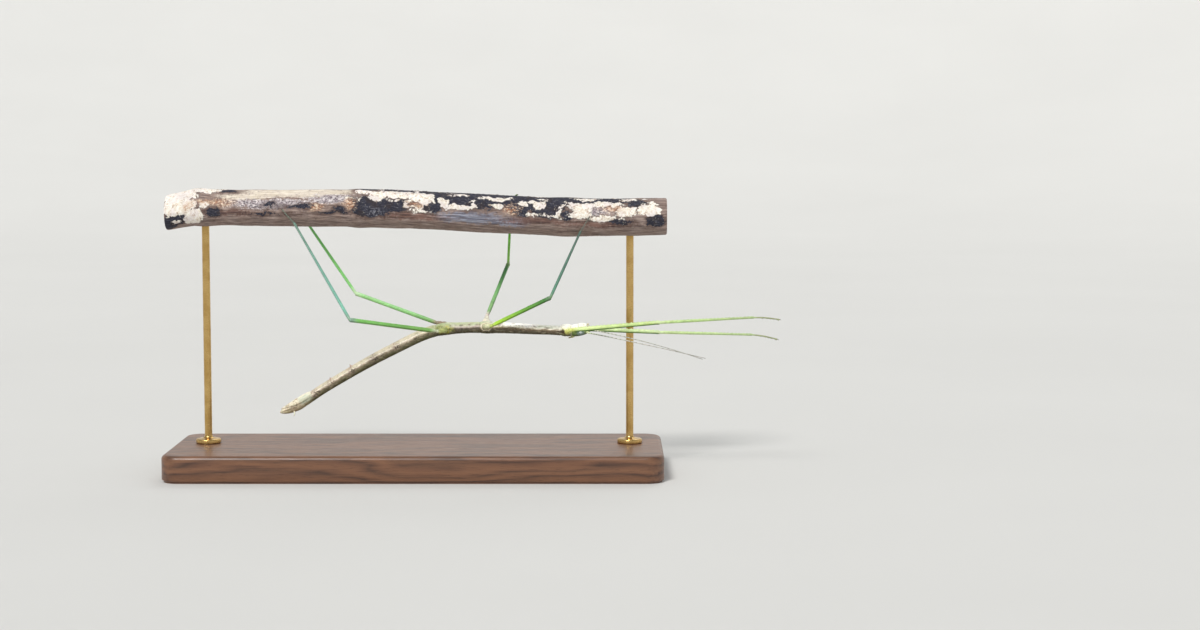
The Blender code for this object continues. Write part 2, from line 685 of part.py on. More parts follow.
def main():
    body = finish_material("body", (0.36, 0.33, 0.22), 0.55)
    legs = finish_material("legs", (0.15, 0.38, 0.12), 0.45)
    face = finish_material("face", (0.55, 0.60, 0.30), 0.5)
    eye = finish_material("eye", (0.30, 0.22, 0.10), 0.2)
    bark = finish_material("bark", (0.42, 0.38, 0.34), 0.85)
    board = finish_material("board", (0.10, 0.05, 0.03), 0.4)
    brass = finish_material("brass", (0.75, 0.58, 0.30), 0.3, 1.0)
    make_trunk(body)
    make_tail_plate(body)
    make_cerci(body)
    head = make_head(face)
    make_eyes(head, eye)
    make_horns(face)
    make_antennae(face)
    make_legs(legs)
    branch = make_branch(bark)
    make_rods(branch, brass)
    make_base(board)


clear_scene()
PARTS = collection("stick_insect")
CUTTERS = collection("cutters", shown=False)
main()
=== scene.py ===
"""The looks of a stick insect that hangs under a branch on a display stand.

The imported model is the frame. This script covers it with a finely shaped skin, branch and
stand, gives each its material, and sets the floor, lights and camera.

Lengths are in millimetres and angles in degrees until a mesh is made, and colours are sRGB
values from 0 to 255. Places on the body are given as in the model: s is the distance along its
axis from the waist, towards the head, and a turn of 0 is the belly, 90 the animal's left side
and 180 its back. It hangs back down, so its belly is up and its left side is at -Y.
"""

import math
from collections import namedtuple

import bmesh
import bpy
import numpy as np
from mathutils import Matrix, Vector, noise


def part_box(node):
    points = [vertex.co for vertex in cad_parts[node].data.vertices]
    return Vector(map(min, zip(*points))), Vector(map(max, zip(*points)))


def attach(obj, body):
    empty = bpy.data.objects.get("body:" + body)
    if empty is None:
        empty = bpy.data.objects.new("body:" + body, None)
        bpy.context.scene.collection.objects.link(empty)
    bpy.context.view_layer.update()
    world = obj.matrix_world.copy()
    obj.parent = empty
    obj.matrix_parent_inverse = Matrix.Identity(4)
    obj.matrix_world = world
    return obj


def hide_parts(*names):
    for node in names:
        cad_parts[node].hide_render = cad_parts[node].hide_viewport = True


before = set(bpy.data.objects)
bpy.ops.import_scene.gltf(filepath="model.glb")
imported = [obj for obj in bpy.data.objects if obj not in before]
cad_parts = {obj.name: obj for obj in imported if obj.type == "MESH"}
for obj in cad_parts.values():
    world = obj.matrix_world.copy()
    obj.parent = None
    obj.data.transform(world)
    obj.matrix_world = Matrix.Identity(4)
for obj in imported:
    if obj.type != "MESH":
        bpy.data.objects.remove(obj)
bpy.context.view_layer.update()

UNIT = 0.001  # metres in a millimetre
SEED = 11
SIDES = {"left": 1, "right": -1}
CRUMB = 100  # fewest vertices of a surface that stays in a union

# Body axis and outline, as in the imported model.
WAIST = (6.85, -4.5, 47.9)
SLOPES = (
    (-60, 17), (-56, 20), (-51.5, 34), (-45, 34), (-40, 31), (-30, 30),
    (-18, 27), (-9, 26.5), (-4.5, 22), (0, 12), (5, 3.5), (16.5, -0.5),
    (28, -3.5), (40, -2), (52, 3),
)
ROLL = 15  # the belly leans this far towards -Y
ABDOMEN_LENGTHS = (6.3, 8, 8.5, 8.5, 7.9, 6.4, 5, 3.6, 4.8)
METATHORAX, MESOTHORAX, PROTHORAX = 14.4, 26.9, 3.3
NECK = METATHORAX + MESOTHORAX + PROTHORAX
RADII = (
    (-59.3, 0.3), (-59, 0.52), (-58.4, 0.8), (-56.5, 1.25), (-54.2, 1.6), (-52, 1.72), (-50, 1.7),
    (-45.6, 1.66), (-39.2, 1.7), (-31.3, 1.76), (-22.8, 1.86), (-14.3, 1.92), (-6.3, 1.98), (0, 2.02),
    (3, 2.1), (7, 1.9), (12, 1.83), (14.5, 1.95), (16.8, 2.1), (20, 1.9), (25, 1.82),
    (32, 1.7), (38, 1.58), (40.6, 1.66), (41.9, 1.84), (43.2, 2), (44.2, 1.92), (44.6, 1.7),
)
# From the neck forwards: distance, half width, height of the back, height of the mouth side.
HEAD_SECTIONS = (
    (0, 1.6, 1.64, 1.9), (0.25, 1.52, 1.6, 1.88), (0.6, 1.62, 1.78, 1.98), (1.3, 1.8, 1.88, 2.08),
    (2.1, 1.88, 1.78, 2.2), (3.1, 1.92, 1.64, 2.4), (4.2, 1.76, 1.36, 2.42), (5.1, 1.44, 1.06, 2.24),
    (5.8, 1.04, 0.76, 1.74), (6.35, 0.6, 0.48, 1.1), (6.55, 0.28, 0.2, 0.7),
)
TAIL_END, HEAD_END = RADII[0][0], NECK + HEAD_SECTIONS[-1][0]
EYE_AT, EYE_TURN = 3.2, 92
ANTENNA_AT, ANTENNA_TURN, ANTENNA_LENGTH, ANTENNA_STEPS = 5.35, 100, 40, 15
ANTENNA_FALLS = {"left": 0.14, "right": 0.24}
ANTENNA_BASE, ANTENNA_SPREAD, ANTENNA_DROOP = 1.1, 0.16, 0.1
ANTENNA_RADII = ((0, 0.28), (0.5, 0.31), (1.2, 0.33), (1.7, 0.25), (2.4, 0.21), (12, 0.16), (41, 0.09))
ANTENNA_BANDS = ((0, (206, 214, 160)), (2, (214, 222, 192)), (9, (204, 206, 194)), (41, (150, 148, 138)))
HORN_AT, HORN_TURN, HORN_LENGTH, HORN_RISE = 0.8, 155, 1.8, 0.28
PLATE_FROM, PLATE_TO, PLATE_SPAN, PLATE_TIP_SPAN = -46.4, -58.6, 82, 16
CERCUS_AT, CERCUS_TURN = -54.8, 128

# Branch axis and thickness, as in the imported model.
BRANCH_FRONT, BRANCH_BOW = -6, 8.7
BRANCH_HEIGHT, BRANCH_FALL, FALL_FROM, FALL_TO = 88.5, 3.2, -22, 64
BEND_AT, BEND_SLOPE = -74, 0.2
BRANCH_RADII = ((-82, 6), (-40, 6.15), (-10, 6.45), (40, 6.4), (82, 6.3))
KNOTS = ((0.35, -72, 3.5), (0.22, -19, 3), (0.28, 50, 5))  # height, place and reach of each

# Legs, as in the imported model: a pair's place and turn on the body, the lengths of coxa, femur
# and tibia, and the radii of femur, knee and tibia.
PAIRS = {
    "fore": (43.4, 82, 1.5, 30, 31, 0.66, 0.6, 0.46),
    "mid": (16.4, 63, 2, 22.5, 24.3, 0.66, 0.66, 0.46),
    "hind": (2.6, 78, 2.2, 30.6, 38.1, 0.66, 0.68, 0.48),
}
COXA_NECK = 0.6
# Side, lean of the coxa (outwards, forwards, towards the belly), where the foot starts and ends
# on the branch (x, and the angle up from its front), and the way the knee points.
GRIPS = {
    "mid_left": (1, (0.47, 0.88, 0), (54.6, -38), (57.4, 2), (0.62, -0.54, -0.57)),
    "mid_right": (-1, (1, 0, 0), (31.4, 146), (33.6, 100), (0.22, 0.97, -0.10)),
    "hind_left": (1, (0.37, -0.93, 0), (-39.6, -44), (-43.4, -2), (-0.45, -0.66, -0.6)),
    "hind_right": (-1, (0.47, -0.88, 0), (-42, 158), (-46.4, 122), (-0.56, 0.42, -0.71)),
}
# Side, lean of the coxa, the way the leg points, and the way its knee points.
REACHES = {
    "fore_left": (1, (0.45, 0.6, 0.62), (1, -0.030, 0.072), (0, -1, 0.3)),
    "fore_right": (-1, (0.5, 0.6, -0.7), (1, 0.010, -0.035), (0, 1, -0.2)),
}
REACH_SHARE, FORE_BOW, FORE_BOW_SHARE, FORE_TARSUS = 0.997, 0.75, 0.33, 8.5
TARSUS_LIFT = 0.36  # height of a gripping foot's axis over the bark
TARSUS_SHARES = (0, 0.4, 0.58, 0.7, 0.8, 1)  # where the five pieces of a foot meet

# Camera: the width that it sees at the target, and where the target is.
VIEW_WIDTH, LENS, SENSOR, ELEVATION = 398.4, 70, 36, 5
TARGET = (61, -4.5, 53)


# Numbers and vectors.


def curve(keys, place):
    """The value at a place on a smooth curve through (place, value) keys that doesn't overshoot."""
    at, value = np.array(keys, float).T
    gap = np.diff(at)
    rise = np.diff(value) / gap
    both = rise[:-1] * rise[1:]
    mean = np.divide(2 * both, rise[:-1] + rise[1:], out=np.zeros_like(both), where=both > 0)
    pull = np.concatenate([rise[:1], mean, rise[-1:]])
    place = np.clip(place, at[0], at[-1])
    i = np.clip(np.searchsorted(at, place) - 1, 0, len(gap) - 1)
    t = (place - at[i]) / gap[i]
    low, high = (1 + 2 * t) * (1 - t) ** 2, t * t * (3 - 2 * t)
    bend = gap[i] * (t * (1 - t) ** 2 * pull[i] - t * t * (1 - t) * pull[i + 1])
    return low * value[i] + high * value[i + 1] + bend


def smooth(share):
    """0 up to 0, 1 from 1, and an even S between them."""
    share = np.clip(share, 0, 1)
    return share * share * (3 - 2 * share)


def hill(place, centre, width):
    """1 at the centre, falling evenly to nothing at about twice the width."""
    return np.exp(-(((place - centre) / width) ** 2))


def window(place, start, end, soft):
    """1 from start to end, with soft edges."""
    return smooth((place - start) / soft + 0.5) * smooth((end - place) / soft + 0.5)


def unit(vectors):
    vectors = np.asarray(vectors, float)
    return vectors / np.linalg.norm(vectors, axis=-1, keepdims=True)


def columns(*values):
    """Arrays or numbers as the last axis of one array."""
    return np.stack(np.broadcast_arrays(*values), axis=-1)


def circle(turn):
    """Cosine and sine of an angle in degrees."""
    return np.cos(np.radians(turn)), np.sin(np.radians(turn))


def around(sides):
    """The angles of that many points round an axis, as one row."""
    return (np.arange(sides) * 360 / sides)[None]


def apart(turn, centre=0):
    """The angle between two turns, from 0 to 180."""
    return np.abs((turn - centre + 180) % 360 - 180)


def ridges(place, *hills):
    """The sum of hills, each a height, a centre and a width."""
    return sum(height * hill(place, centre, width) for height, centre, width in hills)


def cloud(points, size, octaves=2, shift=0):
    """Noise from about -1 to 1 with features of that size, at each of the points."""
    flat = (points.reshape(-1, 3) / size + shift).tolist()
    values = [noise.fractal(place, 1, 2, octaves) for place in flat]
    return np.array(values).reshape(points.shape[:-1])


def linear(colour):
    """An sRGB colour, 0 to 255, as linear values."""
    share = np.asarray(colour, float) / 255
    return np.where(share <= 0.04045, share / 12.92, ((share + 0.055) / 1.055) ** 2.4)


def paint(tint, *coats):
    """Lays colours over tint, each where its weight is above 0."""
    for colour, weight in coats:
        tint = tint + (linear(colour) - tint) * np.clip(weight, 0, 1)[..., None]
    return tint


def bands(keys, place):
    """The colour at a place along (place, colour) keys."""
    at = [key[0] for key in keys]
    colours = np.array([linear(key[1]) for key in keys])
    return np.stack([np.interp(place, at, colours[:, k]) for k in range(3)], axis=-1)


# Surfaces. A shell is a closed surface: its points, its faces, and for each point a colour,
# three marks (speckles, gloss, grain) and its place in a straightened copy of the part, which
# the materials use for what runs along it.


Shell = namedtuple("Shell", "points faces tint marks flow")


def loft_faces(rings, sides):
    """Quads between rings of points, and a fan at each end to the poles, the last two points."""
    i, j = np.meshgrid(np.arange(rings - 1), np.arange(sides), indexing="ij")
    here, beside = i * sides + j, i * sides + (j + 1) % sides
    quads = columns(here, beside, beside + sides, here + sides).reshape(-1, 4)
    k = np.arange(sides)
    after, last, poles = (k + 1) % sides, (rings - 1) * sides, rings * sides
    start, end = columns(poles, after, k), columns(poles + 1, last + k, last + after)
    return [*quads.tolist(), *start.tolist(), *end.tolist()]


def loft(grid, tint=(0, 0, 0), marks=(0, 0, 0), flow=None, poles=None):
    """A shell through rings of points, with a pole in the middle of each end."""
    rings, sides = grid.shape[:2]
    if poles is None:
        poles = (grid[0].mean(axis=0), grid[-1].mean(axis=0))
    made = []
    for values in (tint, marks, grid if flow is None else flow):
        values = np.broadcast_to(values, (rings, sides, 3))
        ends = [values[0].mean(axis=0), values[-1].mean(axis=0)]
        made.append(np.concatenate([values.reshape(-1, 3), ends]))
    points = np.concatenate([grid.reshape(-1, 3), poles])
    return Shell(points, loft_faces(rings, sides), *made)


def gathered(shells):
    """Several shells as one, without joining their surfaces."""
    faces, start = [], 0
    for shell in shells:
        faces += [[i + start for i in face] for face in shell.faces]
        start += len(shell.points)
    parts = [np.concatenate([getattr(s, n) for s in shells]) for n in ("points", "tint", "marks", "flow")]
    return Shell(parts[0], faces, *parts[1:])


def linked(name, data):
    """An object of the scene that shows this data."""
    obj = bpy.data.objects.new(name, data)
    bpy.context.scene.collection.objects.link(obj)
    return obj


def mesh_object(name, shell, **more):
    """A mesh object of a shell. Its colours and marks are kept on the corners of its faces, and
    more holds further values for each point."""
    mesh = bpy.data.meshes.new(name)
    mesh.from_pydata((shell.points * UNIT).tolist(), [], shell.faces)
    corners = np.empty(len(mesh.loops), np.int32)
    mesh.loops.foreach_get("vertex_index", corners)
    for label, values in {"tint": shell.tint, "marks": shell.marks, **more}.items():
        store = mesh.attributes.new(label, "FLOAT_COLOR", "CORNER")
        full = np.ones((len(corners), 4), np.float32)
        full[:, :3] = values[corners]
        store.data.foreach_set("color", full.ravel())
    store = mesh.attributes.new("flow", "FLOAT_VECTOR", "CORNER")
    store.data.foreach_set("vector", shell.flow[corners].astype(np.float32).ravel())
    return linked(name, mesh)


def drop_crumbs(mesh):
    """Removes closed bits of surface that a union left inside the rest."""
    work = bmesh.new()
    work.from_mesh(mesh)
    crumbs, seen = [], set()
    for first in work.verts:
        part = [] if first in seen else [first]
        seen.add(first)
        for vertex in part:
            fresh = {edge.other_vert(vertex) for edge in vertex.link_edges} - seen
            seen |= fresh
            part += fresh
        if len(part) < CRUMB:
            crumbs += part
    bmesh.ops.delete(work, geom=crumbs, context="VERTS")
    work.to_mesh(mesh)
    work.free()


def united(name, layers):
    """One surface out of shells that reach into each other. Shells of one layer don't touch."""
    whole = mesh_object(name, gathered(layers[0]))
    parts = [mesh_object(f"{name}_{i}", gathered(layer)) for i, layer in enumerate(layers[1:])]
    for part in parts:
        join = whole.modifiers.new(part.name, "BOOLEAN")
        join.operation, join.solver, join.object = "UNION", "MANIFOLD", part
    graph = bpy.context.evaluated_depsgraph_get()
    mesh = bpy.data.meshes.new_from_object(whole.evaluated_get(graph))
    for old in (whole, *parts):
        bpy.data.objects.remove(old)
    drop_crumbs(mesh)
    mesh.materials.clear()
    mesh.name = name
    return linked(name, mesh)


def frames(path, crest):
    """Tangent, crest way and side way at each point of a path."""
    along = unit(np.gradient(path, axis=0))
    crest = np.broadcast_to(np.asarray(crest, float), path.shape)
    up = unit(crest - along * (along * crest).sum(axis=1, keepdims=True))
    return along, up, np.cross(along, up)


def softened(path, rounds=3):
    """A path with its corners cut off again and again."""
    path = np.asarray(path, float)
    for _ in range(rounds):
        near, far = path[:-1] * 0.75 + path[1:] * 0.25, path[:-1] * 0.25 + path[1:] * 0.75
        inner = np.stack([near, far], axis=1).reshape(-1, 3)
        path = np.concatenate([path[:1], inner[1:-1], path[-1:]])
    return path


def run_of(path):
    """The distance of each point of a path from its start."""
    return np.concatenate([[0], np.cumsum(np.linalg.norm(np.diff(path, axis=0), axis=1))])


def spaced(path, step):
    """Points at even spacing along a path, and the distance of each from its start."""
    path = np.asarray(path, float)
    run = run_of(path)
    places = np.linspace(0, run[-1], max(3, round(run[-1] / step) + 1))
    return columns(*(np.interp(places, run, path[:, k]) for k in range(3))), places


def tube(path, radius, crest, sides, tint, marks=(0, 0.3, 0.3), relief=0, dome=0.35):
    """A shell round a path. radius and tint hold a value for each point or one for all, relief
    adds to the radius for each place and turn, and dome is how far the ends stand out."""
    along, up, side = frames(path, crest)
    c, s = circle(around(sides))
    out = up[:, None] * c[..., None] + side[:, None] * s[..., None]
    radius = np.broadcast_to(radius, len(path))[:, None] + np.zeros(sides) + relief
    grid = path[:, None] + out * radius[..., None]
    flow = columns(run_of(path)[:, None], radius * c, radius * s)
    tint = tint[:, None] if tint.ndim == 2 else tint
    poles = (
        path[0] - along[0] * radius[0].mean() * dome,
        path[-1] + along[-1] * radius[-1].mean() * dome,
    )
    return loft(grid, tint, marks, flow, poles)


def ball(centre, way, radius, sides, tint, crest):
    """A sphere whose poles lie along way."""
    steps = np.radians(np.linspace(12, 168, sides // 2))
    path = centre - way * (np.cos(steps) * radius)[:, None]
    _, up, side = frames(path, crest)
    c, s = circle(around(sides))
    flat = up[:, None] * (c * radius)[..., None] + side[:, None] * (s * radius)[..., None]
    grid = path[:, None] + np.sin(steps)[:, None, None] * flat
    return loft(grid, tint, (0, 0.3, 0.3), grid, (centre - way * radius, centre + way * radius))


def fitted(obj, material, slot, *nodes, sharp=None):
    """Finishes a piece that stands for these nodes. Edges over the angle sharp stay sharp."""
    obj.data.materials.append(material)
    obj.data.shade_smooth()
    if sharp is not None:
        obj.data.set_sharp_from_angle(angle=math.radians(sharp))
    if nodes:
        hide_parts(*nodes)
    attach(obj, "root")


def box_of(node):
    """The lowest and the highest corner of a node, in millimetres."""
    return (np.array(corner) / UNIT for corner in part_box(node))


# The body's axis.


AXIS_STEP = 0.1
AXIS = np.arange(-62, 56, AXIS_STEP)


def slope(s):
    return np.radians(np.interp(s, *zip(*SLOPES)))


def axis_sum(rate):
    """The sum of a rate along the axis, 0 at the waist."""
    total = np.concatenate([[0], np.cumsum((rate[1:] + rate[:-1]) / 2 * AXIS_STEP)])
    return total - np.interp(0, AXIS, total)


AXIS_X, AXIS_Z = axis_sum(np.cos(slope(AXIS))), axis_sum(np.sin(slope(AXIS)))


def body_point(s):
    s = np.asarray(s, float)
    x, z = np.interp(s, AXIS, AXIS_X), np.interp(s, AXIS, AXIS_Z)
    return columns(WAIST[0] + x, WAIST[1], WAIST[2] + z)


def body_forward(s):
    way = slope(s)
    return columns(np.cos(way), 0, np.sin(way))


def body_out(s, turn):
    """The way out of the body at a turn round it."""
    way, (c, n) = slope(np.asarray(s, float)), circle(ROLL)
    up = columns(-np.sin(way), 0, np.cos(way))
    front = np.array([0, -1, 0])
    belly, left = up * c + front * n, front * c - up * n
    c, n = circle(np.asarray(turn, float))
    return belly * c[..., None] + left * n[..., None]


def body_joints():
    """Places between the pieces of the body, from the tail to the front of the mesothorax."""
    abdomen = -np.cumsum(ABDOMEN_LENGTHS)[:-1]
    return [*abdomen[::-1], 0, METATHORAX, METATHORAX + MESOTHORAX]


# Trunk and head, one loft.


TRUNK_SIDES, GRANULES = 72, 230
# Rings are FINE_STEP apart within FINE_REACH of a joint, behind FINE_TAIL and on the head.
TRUNK_STEP, FINE_STEP, FINE_REACH, FINE_TAIL = 0.25, 0.09, 0.55, -58.4
MOUTH_CUT = ((1.9, 1.75), (6.35, 0.1))  # the mouthparts lie beyond the line through these
# Ridges and furrows along the body: height, turn and width of each.
ABDOMEN_RIDGES = (
    (0.1, 60, 6), (-0.07, 0, 36), (-0.06, 88, 15), (0.05, 180, 8), (0.04, 128, 7),
)
THORAX_RIDGES = (
    (0.05, 42, 5), (-0.04, 0, 30), (0.07, 72, 6), (-0.06, 92, 10), (0.08, 180, 6), (-0.03, 150, 12),
)
# Teeth at the hind rims of segments 5 and 6: place, height, length, angle and reach of colour.
BELLY_TEETH = ((-30.95, 0.85, 0.3, 9, 0.4), (-38.9, 0.5, 0.32, 10, 0.45))


def trunk_stations():
    """Places of the rings, from the tail's end to the head's."""
    s, made = TAIL_END, []
    joints = body_joints()
    while s < HEAD_END:
        made.append(s)
        near = min(abs(s - joint) for joint in joints) < FINE_REACH
        s += FINE_STEP if near or s > NECK - 0.5 or s < FINE_TAIL else TRUNK_STEP
    return np.array([*made, HEAD_END])


def seams(s):
    """The fold at each joint: a narrow groove between two low rims, faint on the abdomen."""
    made = 0
    for joint in body_joints():
        off = np.abs(s - joint)
        deep = 0.4 if joint < -1 else 0.9
        made += deep * ridges(off, (0.04, 0.36, 0.16), (-0.13, 0, 0.12), (-0.05, 0, 0.9))
    return made


def granules(s, turn, radius):
    """Small warts, thickest on the thorax and along its sides."""
    random = np.random.default_rng(SEED)
    made = np.zeros_like(s + turn)
    for _ in range(GRANULES):
        at, angle = random.uniform(-20, 43.8), random.uniform(48, 180)
        side, size, height = random.choice([-1, 1]), random.uniform(0.16, 0.26), random.uniform(0.03, 0.07)
        height *= 0.5 if at < 0 else 1
        rows = np.abs(s[:, 0] - at) < 3 * size
        arc = np.radians(apart(turn, side * angle)) * radius
        made[rows] += height * hill(s[rows], at, size) * hill(arc[0], 0, size)[None, :]
    return made


def trunk_relief(s, turn, radius):
    """What the trunk's surface adds to its plain round outline."""
    away = np.abs(turn)
    abdomen = smooth((0.5 - s) / 2)
    thorax = (1 - abdomen) * smooth((NECK - s) / 0.4)
    made = seams(s) + abdomen * ridges(away, *ABDOMEN_RIDGES) + thorax * ridges(away, *THORAX_RIDGES)
    # The prothorax stands higher on the belly side, with a crossing furrow.
    made += 0.3 * window(s, 41.6, 44.6, 0.8) * hill(away, 0, 62)
    made -= 0.09 * hill(s, 43.1, 0.25) * smooth((away - 95) / 30)
    for place, angle, *_ in PAIRS.values():
        made += 0.3 * hill(s, place, 1.5) * hill(away, angle, 27)
        made += ridges(s, (-0.14, place + 2.3, 0.5), (-0.1, place - 2.1, 0.4)) * hill(away, angle, 36)
    for place, height, long, wide, _ in BELLY_TEETH:
        made += height * hill(s, place, long) * hill(away, 0, wide)
    # The tail end is pinched in at the sides and keeled above.
    return made + smooth((-54.4 - s) / 2.5) * ridges(away, (-0.22, 90, 30), (0.1, 180, 16))


def head_relief(at, turn, wide, high):
    """The head's sockets, sutures, jaws and lips."""
    away = np.abs(turn)
    arc = np.radians(away) * wide
    eye = np.hypot(at - EYE_AT, arc - np.radians(EYE_TURN) * wide)
    feeler = np.hypot(at - ANTENNA_AT, arc - np.radians(ANTENNA_TURN) * wide)
    made = ridges(eye, (0.13, 0.84, 0.14), (-0.1, 0, 0.55)) + 0.12 * hill(feeler, 0.44, 0.11)
    (near, low), (far, top) = MOUTH_CUT
    line = low + (top - low) * (at - near) / (far - near)
    height = high * circle(turn)[0]
    jaws = smooth((at - near) / 0.3)
    made -= 0.14 * jaws * hill(height, line, 0.1)
    mouth = jaws * smooth((height - line) / 0.12)
    mandible = np.hypot((at - 5) / 0.8, (arc - np.radians(60) * wide) / 0.5)
    cheek = np.hypot((at - 3.5) / 1.4, (away - 37) / 12)
    lip = np.hypot((at - 3.8) / 1.6, away / 14)
    lobes = 0.2 * hill(mandible, 0, 1) + 0.15 * hill(cheek, 0, 0.9) + 0.16 * hill(lip, 0, 0.9)
    made += mouth * (lobes - 0.12 * hill(away, 21, 3))
    made -= 0.12 * smooth((at - 4.3) / 0.4) * hill(away, 0, 3.5)
    made -= 0.08 * hill(at, 2.4, 0.1) * hill(away, 0, 50) + 0.07 * hill(at, 4.35, 0.09) * hill(away, 37, 14)
    # The back of the head: its long seam, side ridges, and the folds before the upper lip.
    made -= 0.06 * window(at, 0.7, 4, 0.4) * hill(away, 180, 3.5)
    made -= 0.09 * hill(at, 5.5, 0.11) * smooth((away - 110) / 20)
    made -= 0.06 * hill(at, 5.95, 0.08) * smooth((away - 120) / 20)
    made += 0.06 * hill(away, 140, 9) * window(at, 1, 5, 0.8)
    return made + 0.06 * hill(away, 112, 6) * window(at, 0.5, 2.7, 0.6)


# Colours round each region from the belly (turn 0), which faces up to the lights, to the back (180), which
# faces down: the near-white belly is partly painted light, the dark olive back is painted shade, and the
# pale line at 54 on the abdomen is a painted highlight along its keel.
BODY_BANDS_LIT_AND_SHADED = {
    "tail": (
        (0, (238, 232, 212)), (45, (230, 221, 194)), (75, (200, 188, 156)),
        (110, (172, 160, 126)), (150, (186, 180, 148)), (180, (160, 152, 116)),
    ),
    "abdomen": (
        (0, (210, 202, 178)), (44, (204, 195, 170)), (54, (232, 223, 204)), (64, (208, 194, 172)),
        (75, (134, 122, 98)), (96, (104, 100, 70)), (125, (80, 84, 46)), (180, (54, 62, 28)),
    ),
    "metathorax": (
        (0, (192, 200, 164)), (36, (180, 188, 152)), (50, (200, 196, 174)), (61, (184, 170, 156)),
        (74, (112, 100, 84)), (96, (82, 76, 56)), (128, (72, 74, 44)), (180, (50, 56, 30)),
    ),
    "mesothorax": (
        (0, (252, 250, 245)), (35, (250, 247, 240)), (41, (232, 226, 212)), (47, (250, 246, 236)),
        (58, (228, 219, 200)), (70, (140, 122, 94)), (88, (92, 76, 56)), (112, (92, 88, 66)),
        (140, (70, 70, 46)), (180, (48, 52, 30)),
    ),
    "prothorax": (
        (0, (250, 250, 240)), (44, (244, 243, 222)), (62, (228, 226, 170)), (80, (168, 164, 100)),
        (108, (112, 114, 78)), (180, (74, 82, 48)),
    ),
    "head": (
        (0, (252, 251, 246)), (42, (248, 247, 232)), (58, (226, 228, 140)), (76, (170, 186, 92)),
        (94, (120, 142, 84)), (120, (86, 104, 70)), (180, (70, 86, 48)),
    ),
}
BODY_REGIONS = (
    (-51.5, "tail"), (-47, "abdomen"), (-1.5, "abdomen"), (1, "metathorax"), (16.4, "metathorax"),
    (20.6, "mesothorax"), (41.1, "mesothorax"), (41.5, "prothorax"), (44.4, "prothorax"), (44.9, "head"),
)
PINK_BROWN, DARK_BROWN = (160, 138, 126), (66, 52, 38)
BREAST_SPOTS = ((4.8, 0.5), (6.2, 0.4), (8.2, 0.6), (10.9, 0.45), (13.1, 0.5))  # place and size


def trunk_tint(s, turn, points):
    """The colour of each point of the trunk and head."""
    fine, coarse = cloud(points, 0.45, 2, 3), cloud(points, 2.4, 2, 5)
    long = cloud(points * (0.3, 1, 1), 0.55, 2, 31)
    away = np.clip(np.abs(turn) + 9 * cloud(points, 1.6) + 6 * long + 4 * fine, 0, 180)
    tint = 0
    for region, keys in BODY_BANDS_LIT_AND_SHADED.items():
        weight = np.interp(s, [key[0] for key in BODY_REGIONS], [key[1] == region for key in BODY_REGIONS])
        tint = tint + bands(keys, away) * weight[..., None]
    tint = waist_tint(tint, s, away, fine, coarse)
    tint = abdomen_tint(tint, s, away, fine, points)
    tint = thorax_tint(tint, s, away, fine, coarse, long)
    tint = low_tint(tint, s, away, fine, coarse, long, points)
    return tail_tint(head_tint(tint, s, away, fine), s, away, fine, coarse)


def waist_tint(tint, s, away, fine, coarse):
    """Greener towards the waist, with a yellow-green patch round the hind hips."""
    green = smooth((s + 8) / 8) * smooth((6 - s) / 5) * smooth((80 - away) / 12)
    hips = window(s, 0.2, 5.6, 1.6) * window(away, 34, 108, 22)
    return paint(
        tint,
        ((150, 162, 104), green * (0.4 + 0.6 * coarse)),
        ((182, 186, 62), hips * (0.75 + 0.9 * fine)),
        ((92, 104, 40), smooth(2.6 * hips * (coarse + 0.6 * fine) - 0.3)),
        ((170, 176, 108), 0.4 * window(s, 4, 14, 3) * smooth(3 * fine) * (away < 70)),
    )


def abdomen_tint(tint, s, away, fine, points):
    """Pinkish joints with a dark blotch under the keel, pink teeth, and small brown flecks."""
    for joint in body_joints():
        if joint < -7:
            near = hill(s, joint - 0.4, 1.5) * window(away, 0, 112, 30)
            blot = hill(s, joint + 0.5, 1.3) * window(away, 58, 92, 14)
            blot = smooth(2.6 * (blot * (0.6 + 1.3 * fine) - 0.38))
            tint = paint(tint, (PINK_BROWN, near * (0.45 + 1.2 * fine)), (DARK_BROWN, blot))
        tint = paint(tint, ((110, 96, 76), 0.5 * hill(s, joint, 0.09)))
    for place, *_, reach in BELLY_TEETH:
        tint = paint(tint, ((168, 132, 122), 0.8 * hill(s, place, reach) * hill(away, 0, 16)))
    flecks = smooth(4 * cloud(points, 0.55, 2, 41) - 1.2) * smooth(-s / 4)
    return paint(tint, ((136, 118, 98), 0.5 * flecks * (away < 66)))


